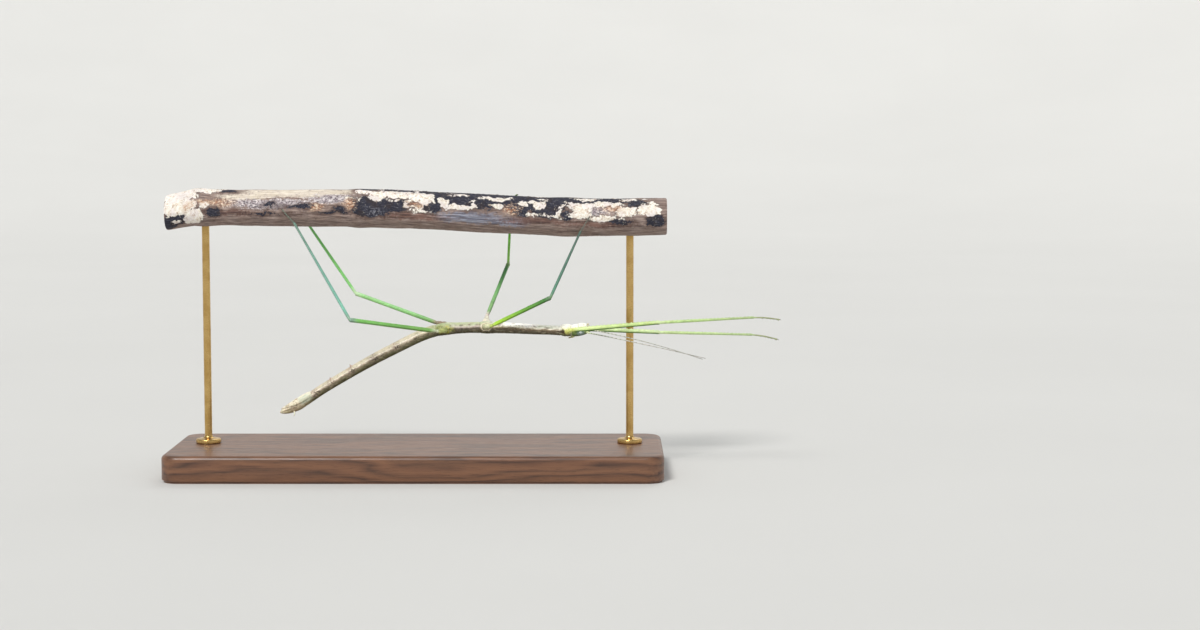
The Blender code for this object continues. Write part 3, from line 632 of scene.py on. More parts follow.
def thorax_tint(tint, s, away, fine, coarse, long):
    """Spots along the hind breastplate, dashes along the middle one, smudges, and the hips."""
    for place, size in BREAST_SPOTS:
        spot = np.hypot((s - place) / size, (away - 42) / 7)
        tint = paint(tint, (DARK_BROWN, 0.7 * smooth(1.5 - spot + 0.7 * fine)))
    row = window(s, 18.8, 40.4, 0.8) * hill(away, 41, 6)
    smudge = window(s, 2.5, 19, 2) * window(away, 24, 60, 14)
    pink = window(s, 5, 15, 2.5) * hill(away, 61, 7)
    # A cream rim round each middle hip, and painted shade in the hollow behind each fore one.
    rim = np.hypot((s - PAIRS["mid"][0]) / 1.5, (away - PAIRS["mid"][1]) / 38)
    hollow_shade = np.hypot((s - 41.95) / 0.95, (away - 84) / 22)
    return paint(
        tint,
        ((92, 78, 60), 0.8 * row * smooth(2.2 * (long + 0.6 * fine) + 0.25)),
        ((122, 106, 84), 0.7 * window(s, 17, 41, 1) * smooth(3.4 * long - 0.7) * (away < 80)),
        ((196, 202, 176), 0.5 * window(s, 33, 41.3, 3) * smooth((60 - away) / 20)),
        ((146, 128, 108), 0.6 * smudge * smooth(2.4 * (long + 0.7 * fine) - 0.1)),
        ((214, 214, 196), 0.55 * smudge * smooth(2.6 * (coarse + 0.8 * fine) - 0.3)),
        ((200, 182, 176), 0.7 * pink * smooth(1.6 * long + 1.2 * fine + 0.55)),
        ((176, 164, 132), 0.7 * hill(rim, 0.75, 0.25)),
        ((243, 229, 203), 0.85 * hill(rim, 1.05, 0.16)),
        ((138, 144, 84), 0.7 * hill(rim, 0.3, 0.5)),
        ((70, 54, 36), smooth(1.5 - hollow_shade + 0.8 * fine)),
        ((206, 208, 96), 0.85 * hill(s, 44, 0.9) * hill(away, 74, 26)),
    )


def low_tint(tint, s, away, fine, coarse, long, points):
    """Dark mottling low on the sides and back, and pale crumbs along the back."""
    low = smooth((away - 62) / 14) * (s < NECK)
    crumbs = low * smooth((away - 100) / 25) * smooth((s + 6) / 6)
    return paint(
        tint,
        ((54, 46, 32), 0.7 * low * smooth(2.4 * (fine + 0.7 * coarse) - 0.3)),
        ((168, 158, 132), 0.45 * low * smooth(2.8 * long - 0.5)),
        ((204, 200, 180), 0.55 * crumbs * smooth(3 * cloud(points, 0.3, 1, 21) - 0.9)),
    )


def tail_tint(tint, s, away, fine, coarse):
    """Blue-green behind segment 8, brown and beige mottles, and a pale tip."""
    return paint(
        tint,
        ((188, 198, 176), 0.7 * window(s, -51.5, -47.5, 2) * window(away, 20, 100, 30)),
        ((156, 138, 108), 0.75 * smooth((-50.8 - s) / 1.5) * smooth(2.4 * fine + coarse - 0.3)),
        ((214, 206, 176), 0.7 * smooth((-57.6 - s) / 0.9)),
    )


def head_tint(tint, s, away, fine):
    """Cheeks, the blue-grey patch round each eye, dark lines behind it, jaws and neck."""
    at = s - NECK
    on = smooth(at / 0.3)
    eye = np.hypot(at - EYE_AT, np.radians(away - EYE_TURN) * 1.9)
    band = window(at, 0.4, 5.4, 0.6) * hill(away, 66, 10)
    low = window(at, 0.3, 4.2, 0.8) * window(away, 80, 112, 12)
    streak = hill(away, 80 - 6 * at, 4) * window(at, 0.2, 2.4, 0.5)
    line = window(at, 0.3, 2.3, 0.4) * hill(away, 92, 5) + window(at, 4.1, 5.2, 0.3) * hill(away, 95, 6)
    seam = hill(at, 2.4, 0.12) * (away < 52) + window(at, 2.5, 6.1, 0.4) * hill(away, 21, 2.6)
    seam = seam + hill(at, 4.35, 0.1) * hill(away, 37, 12)
    jaw = hill(at, 5.75, 0.5) * hill(away, 55, 26)
    tint = paint(
        tint,
        ((216, 220, 112), 0.8 * on * band),
        ((96, 122, 44), on * low * smooth(1.4 * fine + 0.7)),
        ((124, 144, 140), 0.9 * on * hill(eye, 0.85, 0.45)),
        ((226, 226, 150), 0.8 * on * streak),
        ((66, 76, 46), 0.75 * on * line),
        ((176, 162, 122), 0.6 * on * seam),
        ((176, 144, 96), 0.7 * on * jaw * (0.8 + fine)),
        ((122, 96, 66), 0.7 * on * smooth((at - 6.1) / 0.3) * (away < 90)),
        ((60, 70, 40), on * smooth(2.6 * fine - 0.4) * smooth((away - 112) / 20)),
        ((224, 222, 196), 0.5 * hill(at, 0.1, 0.16)),
    )
    return tint * (1 + 0.08 * fine * on)[..., None]


def head_outline(at):
    """Half width, height of the back and height of the mouth side at a distance from the neck."""
    return [curve([(row[0], row[i]) for row in HEAD_SECTIONS], at) for i in (1, 2, 3)]


def trunk_shell():
    s = trunk_stations()[:, None]
    turn = (around(TRUNK_SIDES) + 180) % 360 - 180
    at = s - NECK
    on_head = at > 0
    body = curve(RADII, s)
    wide, back, mouth = (np.where(on_head, column, body) for column in head_outline(at))
    c, n = circle(turn)
    power = 2 + 0.5 * smooth(at / 1.5)
    boxy = (np.abs(c) ** power + np.abs(n) ** power) ** (-1 / power)
    high = np.where(c > 0, mouth, back)
    turns = turn + 0 * s
    relief = np.where(on_head, head_relief(at, turns, wide, high), trunk_relief(s, turns, wide))
    relief += granules(s, turn, 1.85) * ~on_head
    relief *= smooth((s - TAIL_END) / 2)
    tall, broad = (high * boxy + relief) * c, (wide * boxy + relief) * n
    centre = body_point(s)
    grid = centre + body_out(s, 0) * tall[..., None] + body_out(s, 90) * broad[..., None]
    rough = 0.03 * cloud(grid, 0.8, 3) * smooth((NECK - s) / 0.5)
    grid = grid + rough[..., None] * unit(grid - centre)
    tint = trunk_tint(s + 0 * turns, turns, grid)
    speckles = np.where(on_head, 0.3, 0.5 + 0.5 * smooth((np.abs(turns) - 60) / 20))
    marks = columns(speckles, 0.2 + 0.2 * on_head, 0.9 - 0.3 * on_head)
    nose = HEAD_END + 0.03
    poles = (grid[0].mean(axis=0), body_point(nose) + body_out(nose, 0) * 0.3)
    return loft(grid, tint, marks, columns(s, tall, broad), poles)


def head_place(at, turn, out=0):
    """A place on the head, or that far off it."""
    wide, back, mouth = head_outline(at)
    c, n = circle(turn)
    high = mouth if c > 0 else back
    s = NECK + at
    return body_point(s) + body_out(s, 0) * (high + out) * c + body_out(s, 90) * (wide + out) * n


def tail_plate_shell():
    """The keeled gutter under the tip of the abdomen: a plate that rises out of the body, leaves
    it towards its point and has a free edge there."""
    s = np.linspace(PLATE_FROM + 0.9, PLATE_TO, 64)[:, None]
    share = (s - s[0]) / (PLATE_TO - s[0])
    span = PLATE_SPAN + (PLATE_TIP_SPAN - PLATE_SPAN) * share**2.4
    span = span * np.sqrt(np.clip((1 - share) / 0.1, 0.04, 1))
    across = np.linspace(-1, 1, 25)
    turns = np.concatenate([across, across[::-1]])[None] * span
    outer = curve(RADII, s) + 0.1 + 0.42 * np.sin(np.pi * share) + 0.12 * share
    outer = outer - 0.5 * (1 - smooth(share / 0.24))
    inner = outer - 0.42 + 0.12 * share
    sunk = np.abs(across) ** 3 * 0.4 * (1 - smooth((share - 0.4) / 0.35))
    thin = 1 - np.abs(across) ** 6 * 0.3 * share
    radius = np.concatenate([(outer - sunk) * thin, (inner - sunk)[:, ::-1]], axis=1)
    radius += 0.14 * hill(turns, 0, 10) * share
    grid = body_point(s) + body_out(s, turns) * radius[..., None]
    fine, coarse = cloud(grid, 0.45, 2, 3), cloud(grid, 2.4, 2, 5)
    away = np.abs(turns)
    tint = tail_tint(bands(BODY_BANDS_LIT_AND_SHADED["tail"], away), s + 0 * turns, away, fine, coarse)
    tint = paint(tint, ((150, 132, 104), 0.5 * hill(away, span, 6) * share))
    return loft(grid, tint, (0.6, 0.25, 0.8), columns(s, np.radians(turns) * radius, radius))


def cercus_shell(side):
    out, back = body_out(CERCUS_AT, side * CERCUS_TURN), -body_forward(CERCUS_AT)
    root = body_point(CERCUS_AT) + out * (curve(RADII, CERCUS_AT) - 0.3)
    points = [root, root + out * 0.9, root + out * 1.5 + back * 0.22, root + out * 1.95 + back * 0.6]
    path, run = spaced(softened(points), 0.1)
    share = run / run[-1]
    radius = curve(((0, 0.26), (0.15, 0.31), (0.22, 0.25), (0.45, 0.25), (0.8, 0.16), (1, 0.05)), share)
    tint = bands(((0, (206, 198, 168)), (0.6, (226, 222, 204)), (1, (196, 180, 150))), share)
    return tube(path, radius, (0, 1, 0), 14, tint, (0.5, 0.3, 0.8))


# Antennae and palps.


def antenna_shell(name, side):
    """A long first segment, a round second, and a thread of many that thin towards the tip."""
    root = head_place(ANTENNA_AT, side * ANTENNA_TURN, 0.1)
    front = body_out(NECK, side * 90)
    heading = np.array([1, 0, -ANTENNA_FALLS[name]])
    way = unit(front * 0.45 + heading)
    points = [root - way * 0.45, root, root + way * (ANTENNA_BASE + 0.27)]
    step = (ANTENNA_LENGTH - ANTENNA_BASE) / ANTENNA_STEPS
    for i in range(ANTENNA_STEPS):
        share = (i + 1) / ANTENNA_STEPS
        way = heading + front * ANTENNA_SPREAD * (1 - share) - (0, 0, ANTENNA_DROOP * share)
        points.append(points[-1] + unit(way) * step)
    path, run = spaced(softened(points), 0.16)
    joints, length = [1.55, 2.15], 0.75
    while joints[-1] < run[-1]:
        joints.append(joints[-1] + length)
        length = min(length * 1.09, 2.3)
    radius = curve(ANTENNA_RADII, run)
    tint = bands(ANTENNA_BANDS, run)
    for joint in joints:
        radius *= 1 + ridges(run, (-0.2, joint, 0.14), (0.1, joint - 0.3, 0.2))
        tint = paint(tint, ((66, 64, 52), 0.7 * hill(run, joint, 0.2) * (run > 1.8)))
    return tube(path, radius, front, 10, tint, (0.1, 0.25, 0.2))


def palp_shell(at, turn, lengths, radius, side):
    """A feeler beside the mouth, of short segments that each swell towards their end."""
    out, ahead = body_out(NECK + at, side * turn), body_forward(NECK + at)
    way = unit(ahead * 0.7 + out)
    points, joints = [head_place(at, side * turn, -0.25)], [0]
    for i, length in enumerate(lengths):
        way = unit(way + ahead * 0.45 - out * 0.3 * i)
        points.append(points[-1] + way * length)
        joints.append(joints[-1] + length)
    path, run = spaced(softened(points, 2), 0.07)
    thick = radius * (1 - 0.15 * run / run[-1]) * np.sqrt(np.clip((run[-1] - run) / 0.12 + 0.15, 0, 1))
    tint = np.broadcast_to(linear((226, 224, 192)), (len(run), 3))
    for joint in joints[1:-1]:
        place = joint * run[-1] / joints[-1]
        thick = thick * (1 + ridges(run, (-0.3, place, 0.07), (0.12, place - 0.16, 0.12)))
        tint = paint(tint, ((140, 126, 84), 0.7 * hill(run, place, 0.09)))
    tint = paint(tint, ((170, 146, 100), 0.6 * hill(run, run[-1], 0.3)))
    return tube(path, thick, out, 14, tint, (0.1, 0.35, 0.3))


# Branch axis.


def branch_centre(x):
    x = np.asarray(x, float)
    y = BRANCH_FRONT + BRANCH_BOW * (x / 82) ** 2
    z = BRANCH_HEIGHT - BRANCH_FALL * smooth((x - FALL_FROM) / (FALL_TO - FALL_FROM))
    return columns(x, y, z - BEND_SLOPE * np.maximum(0, BEND_AT - x))


def branch_radius(x):
    return np.interp(x, *zip(*BRANCH_RADII)) + ridges(x, *KNOTS)


def on_branch(x, angle, lift):
    """A place over the bark: angle 0 is the front of the branch, 90 its top and 180 its back."""
    c, s = circle(angle)
    return branch_centre(x) + np.array([0, -c, s]) * (branch_radius(x) + lift)


# Legs.


# Colours of each leg: the hip, the femur at three places, the knee, the tibia at three places
# and the foot. They are the leg's green with the light and shade it gets painted in.
LEG_COLOURS_LIT_AND_SHADED = {
    "fore_left": (
        (214, 222, 120), (226, 246, 168), (206, 232, 150), (196, 222, 140), (200, 220, 160),
        (190, 218, 144), (180, 208, 136), (168, 190, 132), (150, 158, 118),
    ),
    "fore_right": (
        (150, 160, 84), (168, 188, 126), (196, 220, 154), (206, 230, 166), (200, 220, 164),
        (196, 220, 152), (184, 210, 144), (170, 192, 136), (150, 158, 118),
    ),
    # The mid left femur darkens along its length: painted shade.
    "mid_left": (
        (176, 196, 96), (168, 214, 58), (104, 164, 48), (62, 122, 50), (104, 138, 100),
        (80, 132, 108), (66, 110, 92), (68, 96, 84), (106, 106, 98),
    ),
    "mid_right": (
        (214, 200, 190), (130, 172, 112), (108, 168, 98), (88, 150, 90), (138, 172, 112),
        (138, 200, 88), (108, 192, 58), (94, 172, 50), (104, 134, 76),
    ),
    "hind_left": (
        (196, 204, 168), (118, 166, 84), (116, 176, 88), (122, 190, 96), (132, 164, 142),
        (122, 186, 164), (116, 166, 148), (112, 146, 130), (114, 120, 108),
    ),
    "hind_right": (
        (134, 122, 98), (126, 180, 106), (144, 204, 128), (152, 212, 134), (184, 216, 168),
        (144, 220, 130), (120, 204, 102), (100, 180, 100), (98, 128, 98),
    ),
}
# The hips' colours, and the radius of each at its root and of the ring at the thigh's start.
COXAE = {
    "fore_left": ((208, 212, 116), 0.92, 0.54), "fore_right": ((176, 186, 92), 0.92, 0.54),
    "mid_left": ((206, 206, 168), 1, 0.56), "mid_right": ((222, 216, 198), 1.45, 0.6),
    "hind_left": ((166, 174, 104), 1.1, 0.58), "hind_right": ((138, 118, 96), 1.25, 0.78),
}
COXA_SIDES, FEMUR_SIDES, TIBIA_SIDES, TARSUS_SIDES = 28, 24, 18, 14
TOOTH_PITCH = 1.25


def knee_of(hip, ankle, femur, tibia, towards):
    """The knee between hip and ankle for the two lengths, on the side that towards points to."""
    line = ankle - hip
    reach = np.linalg.norm(line)
    along = (femur**2 - tibia**2 + reach**2) / (2 * reach)
    off = math.sqrt(max(0, femur**2 - along**2))
    line = line / reach
    side = np.asarray(towards, float)
    return hip + line * along + unit(side - line * (side @ line)) * off


def coxa_of(pair, side, lean):
    """Root, knuckle and hip of a leg."""
    s, angle, coxa = PAIRS[pair][:3]
    out = body_out(s, side * angle)
    way = out * lean[0] + body_forward(s) * lean[1] + body_out(s, 0) * lean[2]
    root = body_point(s) + out * (curve(RADII, s) + 0.15)
    knuckle = root + out * COXA_NECK
    return root, knuckle, knuckle + unit(way) * coxa


def foot_path(start, end):
    """A foot that wraps round the bark from start to end."""
    path = []
    for share in np.linspace(0, 1, 7):
        x, angle = (a + (b - a) * share for a, b in zip(start, end))
        path.append(on_branch(x, angle, TARSUS_LIFT + 0.35 * (1 - share) ** 2))
    return np.array(path)


def leg_plan(name):
    """The places of one leg: root, knuckle, hip, bow of the thigh, knee, foot, and the way its
    knee and sole face."""
    pair = name.split("_")[0]
    femur, tibia = PAIRS[pair][3:5]
    if name in GRIPS:
        side, lean, start, end, towards = GRIPS[name]
        root, knuckle, hip = coxa_of(pair, side, lean)
        foot = foot_path(start, end)
        knee = knee_of(hip, foot[0], femur, tibia, towards)
        middle = (foot[0] + foot[-1]) / 2
        sole = unit(middle - branch_centre(middle[0]))
        return root, knuckle, hip, [], knee, foot, unit(knee - (hip + foot[0]) / 2), sole
    side, lean, way, towards = REACHES[name]
    root, knuckle, hip = coxa_of(pair, side, lean)
    ahead = unit(way)
    ankle = hip + ahead * (femur + tibia) * REACH_SHARE
    knee = knee_of(hip, ankle, femur, tibia, towards)
    bow = []
    for i in range(1, 6):
        off = np.array([0, -side, 0]) * FORE_BOW * math.sin(math.pi * i / 6)
        bow.append(hip + (knee - hip) * FORE_BOW_SHARE * i / 6 + off)
    droop = np.array([0, 0, -0.15])
    toe = ankle + unit(ahead + droop) * FORE_TARSUS
    foot = np.array([ankle, (ankle + toe) / 2 - droop * 2, toe])
    return root, knuckle, hip, bow, knee, foot, np.array([0, -0.35, 1]), np.array([0, 0, 1])


def keels(turn, width):
    """Four ridges along a limb."""
    return hill(turn % 90 - 45, 0, width)


def saw(run, pitch):
    """Teeth that lean forwards: a slow rise to a point and a quick fall."""
    phase = (run / pitch + 0.12 * np.sin(run * 1.7)) % 1
    teeth = np.where(phase < 0.72, (phase / 0.72) ** 1.5, 1 - smooth((phase - 0.72) / 0.28))
    return teeth[:, None]


def limb_tint(keys, path, share, ribs, shift):
    """Colours along a limb, clouded, and lighter on its ribs: a painted highlight along the keels."""
    mottle = 0.14 * cloud(path[:, None] + 0 * ribs[..., None], 2.2, 2, shift)
    return bands(list(keys), share)[:, None] * (1 + mottle)[..., None] * (1 + 0.1 * ribs)[..., None]


def coxa_shell(name, root, knuckle, hip):
    """A wrinkled hip with a ring where the thigh starts."""
    pair = name.split("_")[0]
    inside, end = root - unit(knuckle - root) * 0.75, hip + unit(hip - knuckle) * 0.3
    path, run = spaced(softened([inside, knuckle, end], 2), 0.14)
    share = run / run[-1]
    colour, wide, ring = COXAE[name]
    radius = curve((
        (0, wide * 1.05), (0.25, wide), (0.42, wide * 0.82), (0.65, 0.78),
        (0.84, ring + 0.14), (1, ring * 0.8),
    ), share)
    radius -= ridges(share, (0.03, 0.36, 0.04), (0.09, 0.9, 0.035))
    turn = around(COXA_SIDES)
    knobs = cloud(path[:, None] + 1.3 * columns(*circle(turn), 0), 0.5)
    rough = 0.4 if pair == "fore" else 1
    relief = rough * (0.05 * keels(turn, 13) + 0.07 * knobs) * window(share, 0.3, 0.92, 0.2)[:, None]
    tint = bands(((0, colour), (0.8, colour), (1, LEG_COLOURS_LIT_AND_SHADED[name][0])), share)
    tint = paint(tint, ((94, 84, 58), ridges(share, (0.2, 0.36, 0.05), (0.4, 0.9, 0.04))))
    # Lighter on the knobs and darker between them: mottling, and painted light and shade that follows the
    # relief.
    tint = tint[:, None] * (1 + 0.45 * rough * knobs)[..., None]
    # A cream streak along the upper side of each fore hip: a painted highlight.
    if pair == "fore":
        streak = 0.8 * (0.6 + knobs) * hill(apart(turn), 0, 40) * (share < 0.9)[:, None]
        tint = paint(tint, ((240, 240, 190), streak))
    return tube(path, radius, body_out(PAIRS[pair][0], 0), COXA_SIDES, tint, (0.7, 0.2, 0.9), relief)


def femur_shell(name, hip, bow, knee, crest):
    pair = name.split("_")[0]
    thick, bend = PAIRS[pair][5:7]
    fore, ring = pair == "fore", COXAE[name][2]
    way = unit(knee - (bow[-1] if bow else hip))
    start = unit((bow[0] if bow else knee) - hip)
    points = [hip - start * 0.35, *([hip] if bow else []), *bow, knee + way * 0.28]
    path, run = spaced(softened(points, 2) if bow else points, 0.16 if fore else 0.3)
    length = run[-1]
    radius = curve((
        (0, ring * 0.7), (0.4, ring), (1, ring), (1.25, 0.47), (1.5, 0.57), (6, thick),
        (length - 5, thick * 0.92), (length - 1.6, bend * 0.95), (length - 0.6, bend * 1.06),
        (length - 0.15, bend * 0.8), (length, bend * 0.45),
    ), run)
    turn = around(FEMUR_SIDES)
    on = window(run, 1.8, length - 0.5, 1)[:, None]
    relief = on * (0.13 * keels(turn, 9) - 0.05)
    if fore:
        upper = on * hill(apart(turn), 45, 9) * saw(run, TOOTH_PITCH)
        relief += 0.3 * upper - 0.08 * on * hill(turn, 180, 30)
    else:
        under = window(run, length - 9, length - 1, 1)[:, None] * saw(run, 0.9)
        relief += 0.09 * hill(apart(turn), 135, 9) * under
    # Lobes on both sides of the knee, with the crest between them cut back.
    lobes = ridges(turn, (0.1, 90, 35), (0.1, 270, 35), (-0.1, 180, 30))
    relief += hill(run, length - 0.3, 0.7)[:, None] * lobes
    hip_tint, *thigh, knee_tint = LEG_COLOURS_LIT_AND_SHADED[name][:5]
    places = (0, 0.045, 0.11, 0.5, 0.9, 0.97, 1)
    keys = zip(places, (hip_tint, hip_tint, *thigh, knee_tint, knee_tint))
    tint = limb_tint(keys, path, run / length, (keels(turn, 9) - 0.3) * on, 9)
    if fore:
        # The lower half of a fore femur is painted dark green: painted shade under the thigh.
        below = smooth((apart(turn) - 84) / 26)
        tint = paint(tint, ((78, 122, 38), 0.95 * on * below), ((240, 250, 214), 0.6 * upper))
    tint = paint(tint, ((96, 92, 70), 0.5 * hill(run, 1.25, 0.15)[:, None] + 0 * turn))
    return tube(path, radius, crest, FEMUR_SIDES, tint, (0.12, 0.55, 0.25), relief)


def tibia_shell(name, knee, ankle, crest):
    pair = name.split("_")[0]
    thick = PAIRS[pair][7]
    fore = pair == "fore"
    way = unit(ankle - knee)
    path, run = spaced([knee - way * 0.3, ankle + way * 0.1], 0.16 if fore else 0.3)
    length = run[-1]
    radius = curve((
        (0, 0.28), (0.25, 0.44), (0.7, 0.5), (1.4, thick), (8, thick), (length - 3, thick * 0.74),
        (length - 0.7, thick * 0.82), (length - 0.2, thick * 0.84), (length, thick * 0.55),
    ), run)
    turn = around(TIBIA_SIDES)
    on = window(run, 1.2, length - 0.6, 1)[:, None]
    relief = on * (0.085 * keels(turn, 11) - 0.03)
    if fore:
        relief += 0.18 * on * hill(apart(turn), 45, 11) * saw(run, TOOTH_PITCH)
    knee_tint, *shin = LEG_COLOURS_LIT_AND_SHADED[name][4:8]
    keys = zip((0, 0.03, 0.09, 0.5, 0.9, 1), (knee_tint, knee_tint, *shin, shin[-1]))
    tint = limb_tint(keys, path, run / length, (keels(turn, 11) - 0.3) * on, 15)
    return tube(path, radius, crest, TIBIA_SIDES, tint, (0.12, 0.5, 0.25), relief)


def tarsus_shell(name, foot, sole):
    """Five pieces, the first the longest, each with a pad on its sole, and the last with claws."""
    away = foot[0] - unit(foot[1] - foot[0]) * 0.25
    path, run = spaced(softened([away, *foot], 2), 0.11)
    length = run[-1]
    share = run / length
    radius = curve(((0, 0.26), (0.3, 0.24), (0.6, 0.23), (0.85, 0.22), (0.95, 0.26), (1, 0.2)), share)
    shin, toes = LEG_COLOURS_LIT_AND_SHADED[name][7:]
    tint = bands(((0, shin), (0.2, toes), (1, toes)), share)
    pads = 0
    for start, end in zip(TARSUS_SHARES, TARSUS_SHARES[1:]):
        size = min(0.35, (end - start) * length * 0.3)
        place = end * length - size
        pads = pads + 0.13 * hill(run, place, size)[:, None]
        if end < 1:
            radius *= 1 + ridges(run, (-0.34, end * length, 0.12), (0.08, place, size))
            tint = paint(tint, ((84, 74, 54), 0.6 * hill(run, end * length, 0.16)))
    pads = pads * hill(around(TARSUS_SIDES), 180, 55)
    return tube(path, radius, sole, TARSUS_SIDES, tint, (0.15, 0.35, 0.3), pads)


def leg_shells(name):
    """The shells of one leg, as layers that each reach into the one before, and its foot."""
    root, knuckle, hip, bow, knee, foot, crest, sole = leg_plan(name)
    coxa = coxa_shell(name, root, knuckle, hip)
    femur = femur_shell(name, hip, bow, knee, crest)
    tibia = tibia_shell(name, knee, foot[0], crest)
    return (coxa, femur, tibia, tarsus_shell(name, foot, sole)), (foot, sole)


def claw_shells(foot, sole):
    """Two hooks at the end of a foot."""
    toe, way = foot[-1], unit(foot[-1] - foot[-2])
    across = np.cross(way, sole)
    made = []
    for side in (-1, 1):
        spread = unit(way + across * side * 0.55)
        points = [toe - way * 0.1, toe + spread * 0.28 + sole * 0.08]
        points += [toe + spread * 0.52 - sole * 0.06, toe + spread * 0.6 - sole * 0.27]
        path, run = spaced(softened(points, 3), 0.04)
        radius = curve(((0, 0.1), (0.3, 0.09), (0.8, 0.045), (1, 0.015)), run / run[-1])
        made.append(tube(path, radius, sole, 8, linear((74, 50, 30)), (0, 0.8, 0.1)))
    return made


# The animal's pieces.


SKIN_NODES = (
    ["head", "mouthparts", "prothorax", "mesothorax", "metathorax", "subgenital_plate"]
    + [f"abdomen_{n}" for n in range(2, 11)]
    + [f"{part}_{side}" for part in ("antenna", "cercus") for side in SIDES]
    + [f"{part}_{name}" for part in ("coxa", "femur", "tibia", "tarsus") for name in LEG_COLOURS_LIT_AND_SHADED]
)


def make_skin(material):
    legs = {name: leg_shells(name) for name in LEG_COLOURS_LIT_AND_SHADED}
    feelers = [antenna_shell(name, side) for name, side in SIDES.items()]
    for side in SIDES.values():
        feelers.append(palp_shell(4.6, 42, (0.35, 0.3, 0.4, 0.4, 0.45), 0.2, side))
        feelers.append(palp_shell(5.1, 15, (0.3, 0.3, 0.35), 0.17, side))
        feelers.append(cercus_shell(side))
    coxae, *limbs = ([legs[name][0][i] for name in legs] for i in range(4))
    skin = united("skin", [[trunk_shell()], coxae + feelers, [tail_plate_shell()], *limbs])
    fitted(skin, material, "body", *SKIN_NODES)
    return [legs[name][1] for name in legs]


def make_claws(feet, material):
    shells = [shell for foot, sole in feet for shell in claw_shells(foot, sole)]
    fitted(mesh_object("claws", gathered(shells)), material, "legs")


def make_eyes(material):
    """Each eye is a fine ball in the place of the model's, its axis pointing out of the head."""
    for name, side in SIDES.items():
        low, high = box_of(f"eye_{name}")
        centre, radius = (low + high) / 2, float((high - low).mean()) / 2
        way = unit(body_out(NECK + EYE_AT, side * EYE_TURN))
        shell = ball(centre, way, radius, 48, linear((150, 160, 150)), body_forward(NECK))
        # This mark rises from the front of the eye to its back; the eye material paints shade with it.
        shell.marks[:, 0] = 1 - smooth((shell.points - centre) @ way / radius - 0.1)
        fitted(mesh_object(f"eyeball_{name}", shell), material, "eye", f"eye_{name}")


def make_horns(material):
    """Short blunt horns that lean back, with small warts."""
    for name, side in SIDES.items():
        s = NECK + HORN_AT
        out, back = body_out(s, side * HORN_TURN), -body_forward(s)
        root = head_place(HORN_AT, side * HORN_TURN, -0.1)
        tip = root + unit(out * HORN_RISE + back) * HORN_LENGTH + out * 0.32
        points = [root + back * -0.15, root + out * 0.34 + back * 0.2, root + out * 0.5 + back * 0.95, tip]
        path, run = spaced(softened(points, 3), 0.06)
        share = run / run[-1]
        radius = curve(((0, 0.46), (0.25, 0.36), (0.6, 0.24), (0.92, 0.12), (1, 0.06)), share)
        warts = np.sin(run[:, None] * 9 + np.radians(around(20) * 2)) * window(run, 0.2, 1.8, 0.3)[:, None]
        tint = bands(((0, (176, 182, 112)), (0.5, (178, 176, 126)), (1, (140, 122, 84))), share)
        shell = tube(path, radius, out, 20, tint, (0.4, 0.4, 0.6), 0.035 * warts)
        fitted(mesh_object(f"head_horn_{name}", shell), material, "face", f"horn_{name}")


# Branch.


BRANCH_SIDES, BRANCH_STEP = 144, 0.38
CAP_SHARES = (0.94, 0.85, 0.75, 0.62, 0.48, 0.34, 0.2, 0.08)  # radii of the rings of a sawn end
# Patches on the front of the branch: place along it, angle up from its front, half length and
# half angle.
LICHEN = (
    (-78, 60, 6.5, 34), (-79, 14, 6, 26), (-73.5, -28, 3.6, 26), (-69.5, 10, 1.8, 12),
    (-68.5, 70, 3.6, 20), (-16.6, 61, 2.2, 13), (-12, 44, 3.6, 19), (-5, 52, 6, 15),
    (2.6, 48, 4.4, 15), (4.6, 33, 2.4, 13), (2.4, -1, 3, 6), (9.8, 29, 1.6, 17),
    (15, 16, 5, 9), (19.2, 26, 1.3, 11), (15.2, 60, 2.9, 5), (26.5, 54, 5.6, 8),
    (27.8, 27, 2.1, 11), (36.3, 36, 1.5, 11), (41.4, 31, 1.9, 13), (45.4, 1, 3.2, 4),
    (47.6, 13, 0.9, 12), (38.8, 3, 1.6, 4), (55, 36, 4.8, 15), (54.6, 12, 4, 16),
    (61.5, -2, 6.5, 9), (63, 44, 6, 9), (69.5, 20, 3.4, 16), (77.5, 24, 4.4, 20),
    (56.5, 70, 5, 5), (71, 66, 2.4, 7), (-79.5, -34, 1.4, 8),
)
LICHEN_RINGS = ((39.3, 44, 2.6, 8), (0.5, 19, 3.8, 16))  # pale only along their outline
CRUST = (
    (-80, -26, 4.2, 24), (-82.5, -50, 3, 20), (-77.2, 34, 0.9, 20), (-74.6, 44, 1.1, 9),
    (-72.6, 68, 1.5, 20), (-62.5, 68, 3.8, 10), (-66.5, -12, 2.4, 14), (-50, -16, 4.6, 3),
    (-48, 14, 1.9, 8), (-37.5, 6, 4.3, 5.5), (-27, -10, 4, 3), (-24.6, -3, 2, 7),
    (-14.5, 8, 6, 32), (-6, 14, 5, 20), (6, 16, 2.6, 22), (35.5, 10, 2.6, 14),
    (44, 18, 5, 24), (50.5, 6, 2, 16), (67.5, -14, 3.4, 7), (73.5, 46, 3, 16),
    (79.5, -10, 3, 18), (-14, 82, 6, 12), (2, 76, 12, 22), (19, 56, 13, 44),
    (38, 60, 14, 42), (60, 66, 14, 20), (9, 95, 24, 16),
)
RUST = (
    (-68, 22, 6, 9), (-63, 14, 3, 6), (-32.2, 5, 2.3, 11), (-20.6, 16, 2.2, 14),
    (32.6, 20, 2.6, 16), (0.6, 17, 3, 10), (65, 29, 4.2, 9), (-75.5, 10, 1.6, 10),
)
PALE_WOOD = ((-39, 64, 19, 26), (-57, 40, 7, 13))
GREY_WOOD = ((-48, 15, 13.5, 16), (-27, 30, 8.5, 15), (-13.6, -4, 2.9, 13), (60, 24, 5, 12))
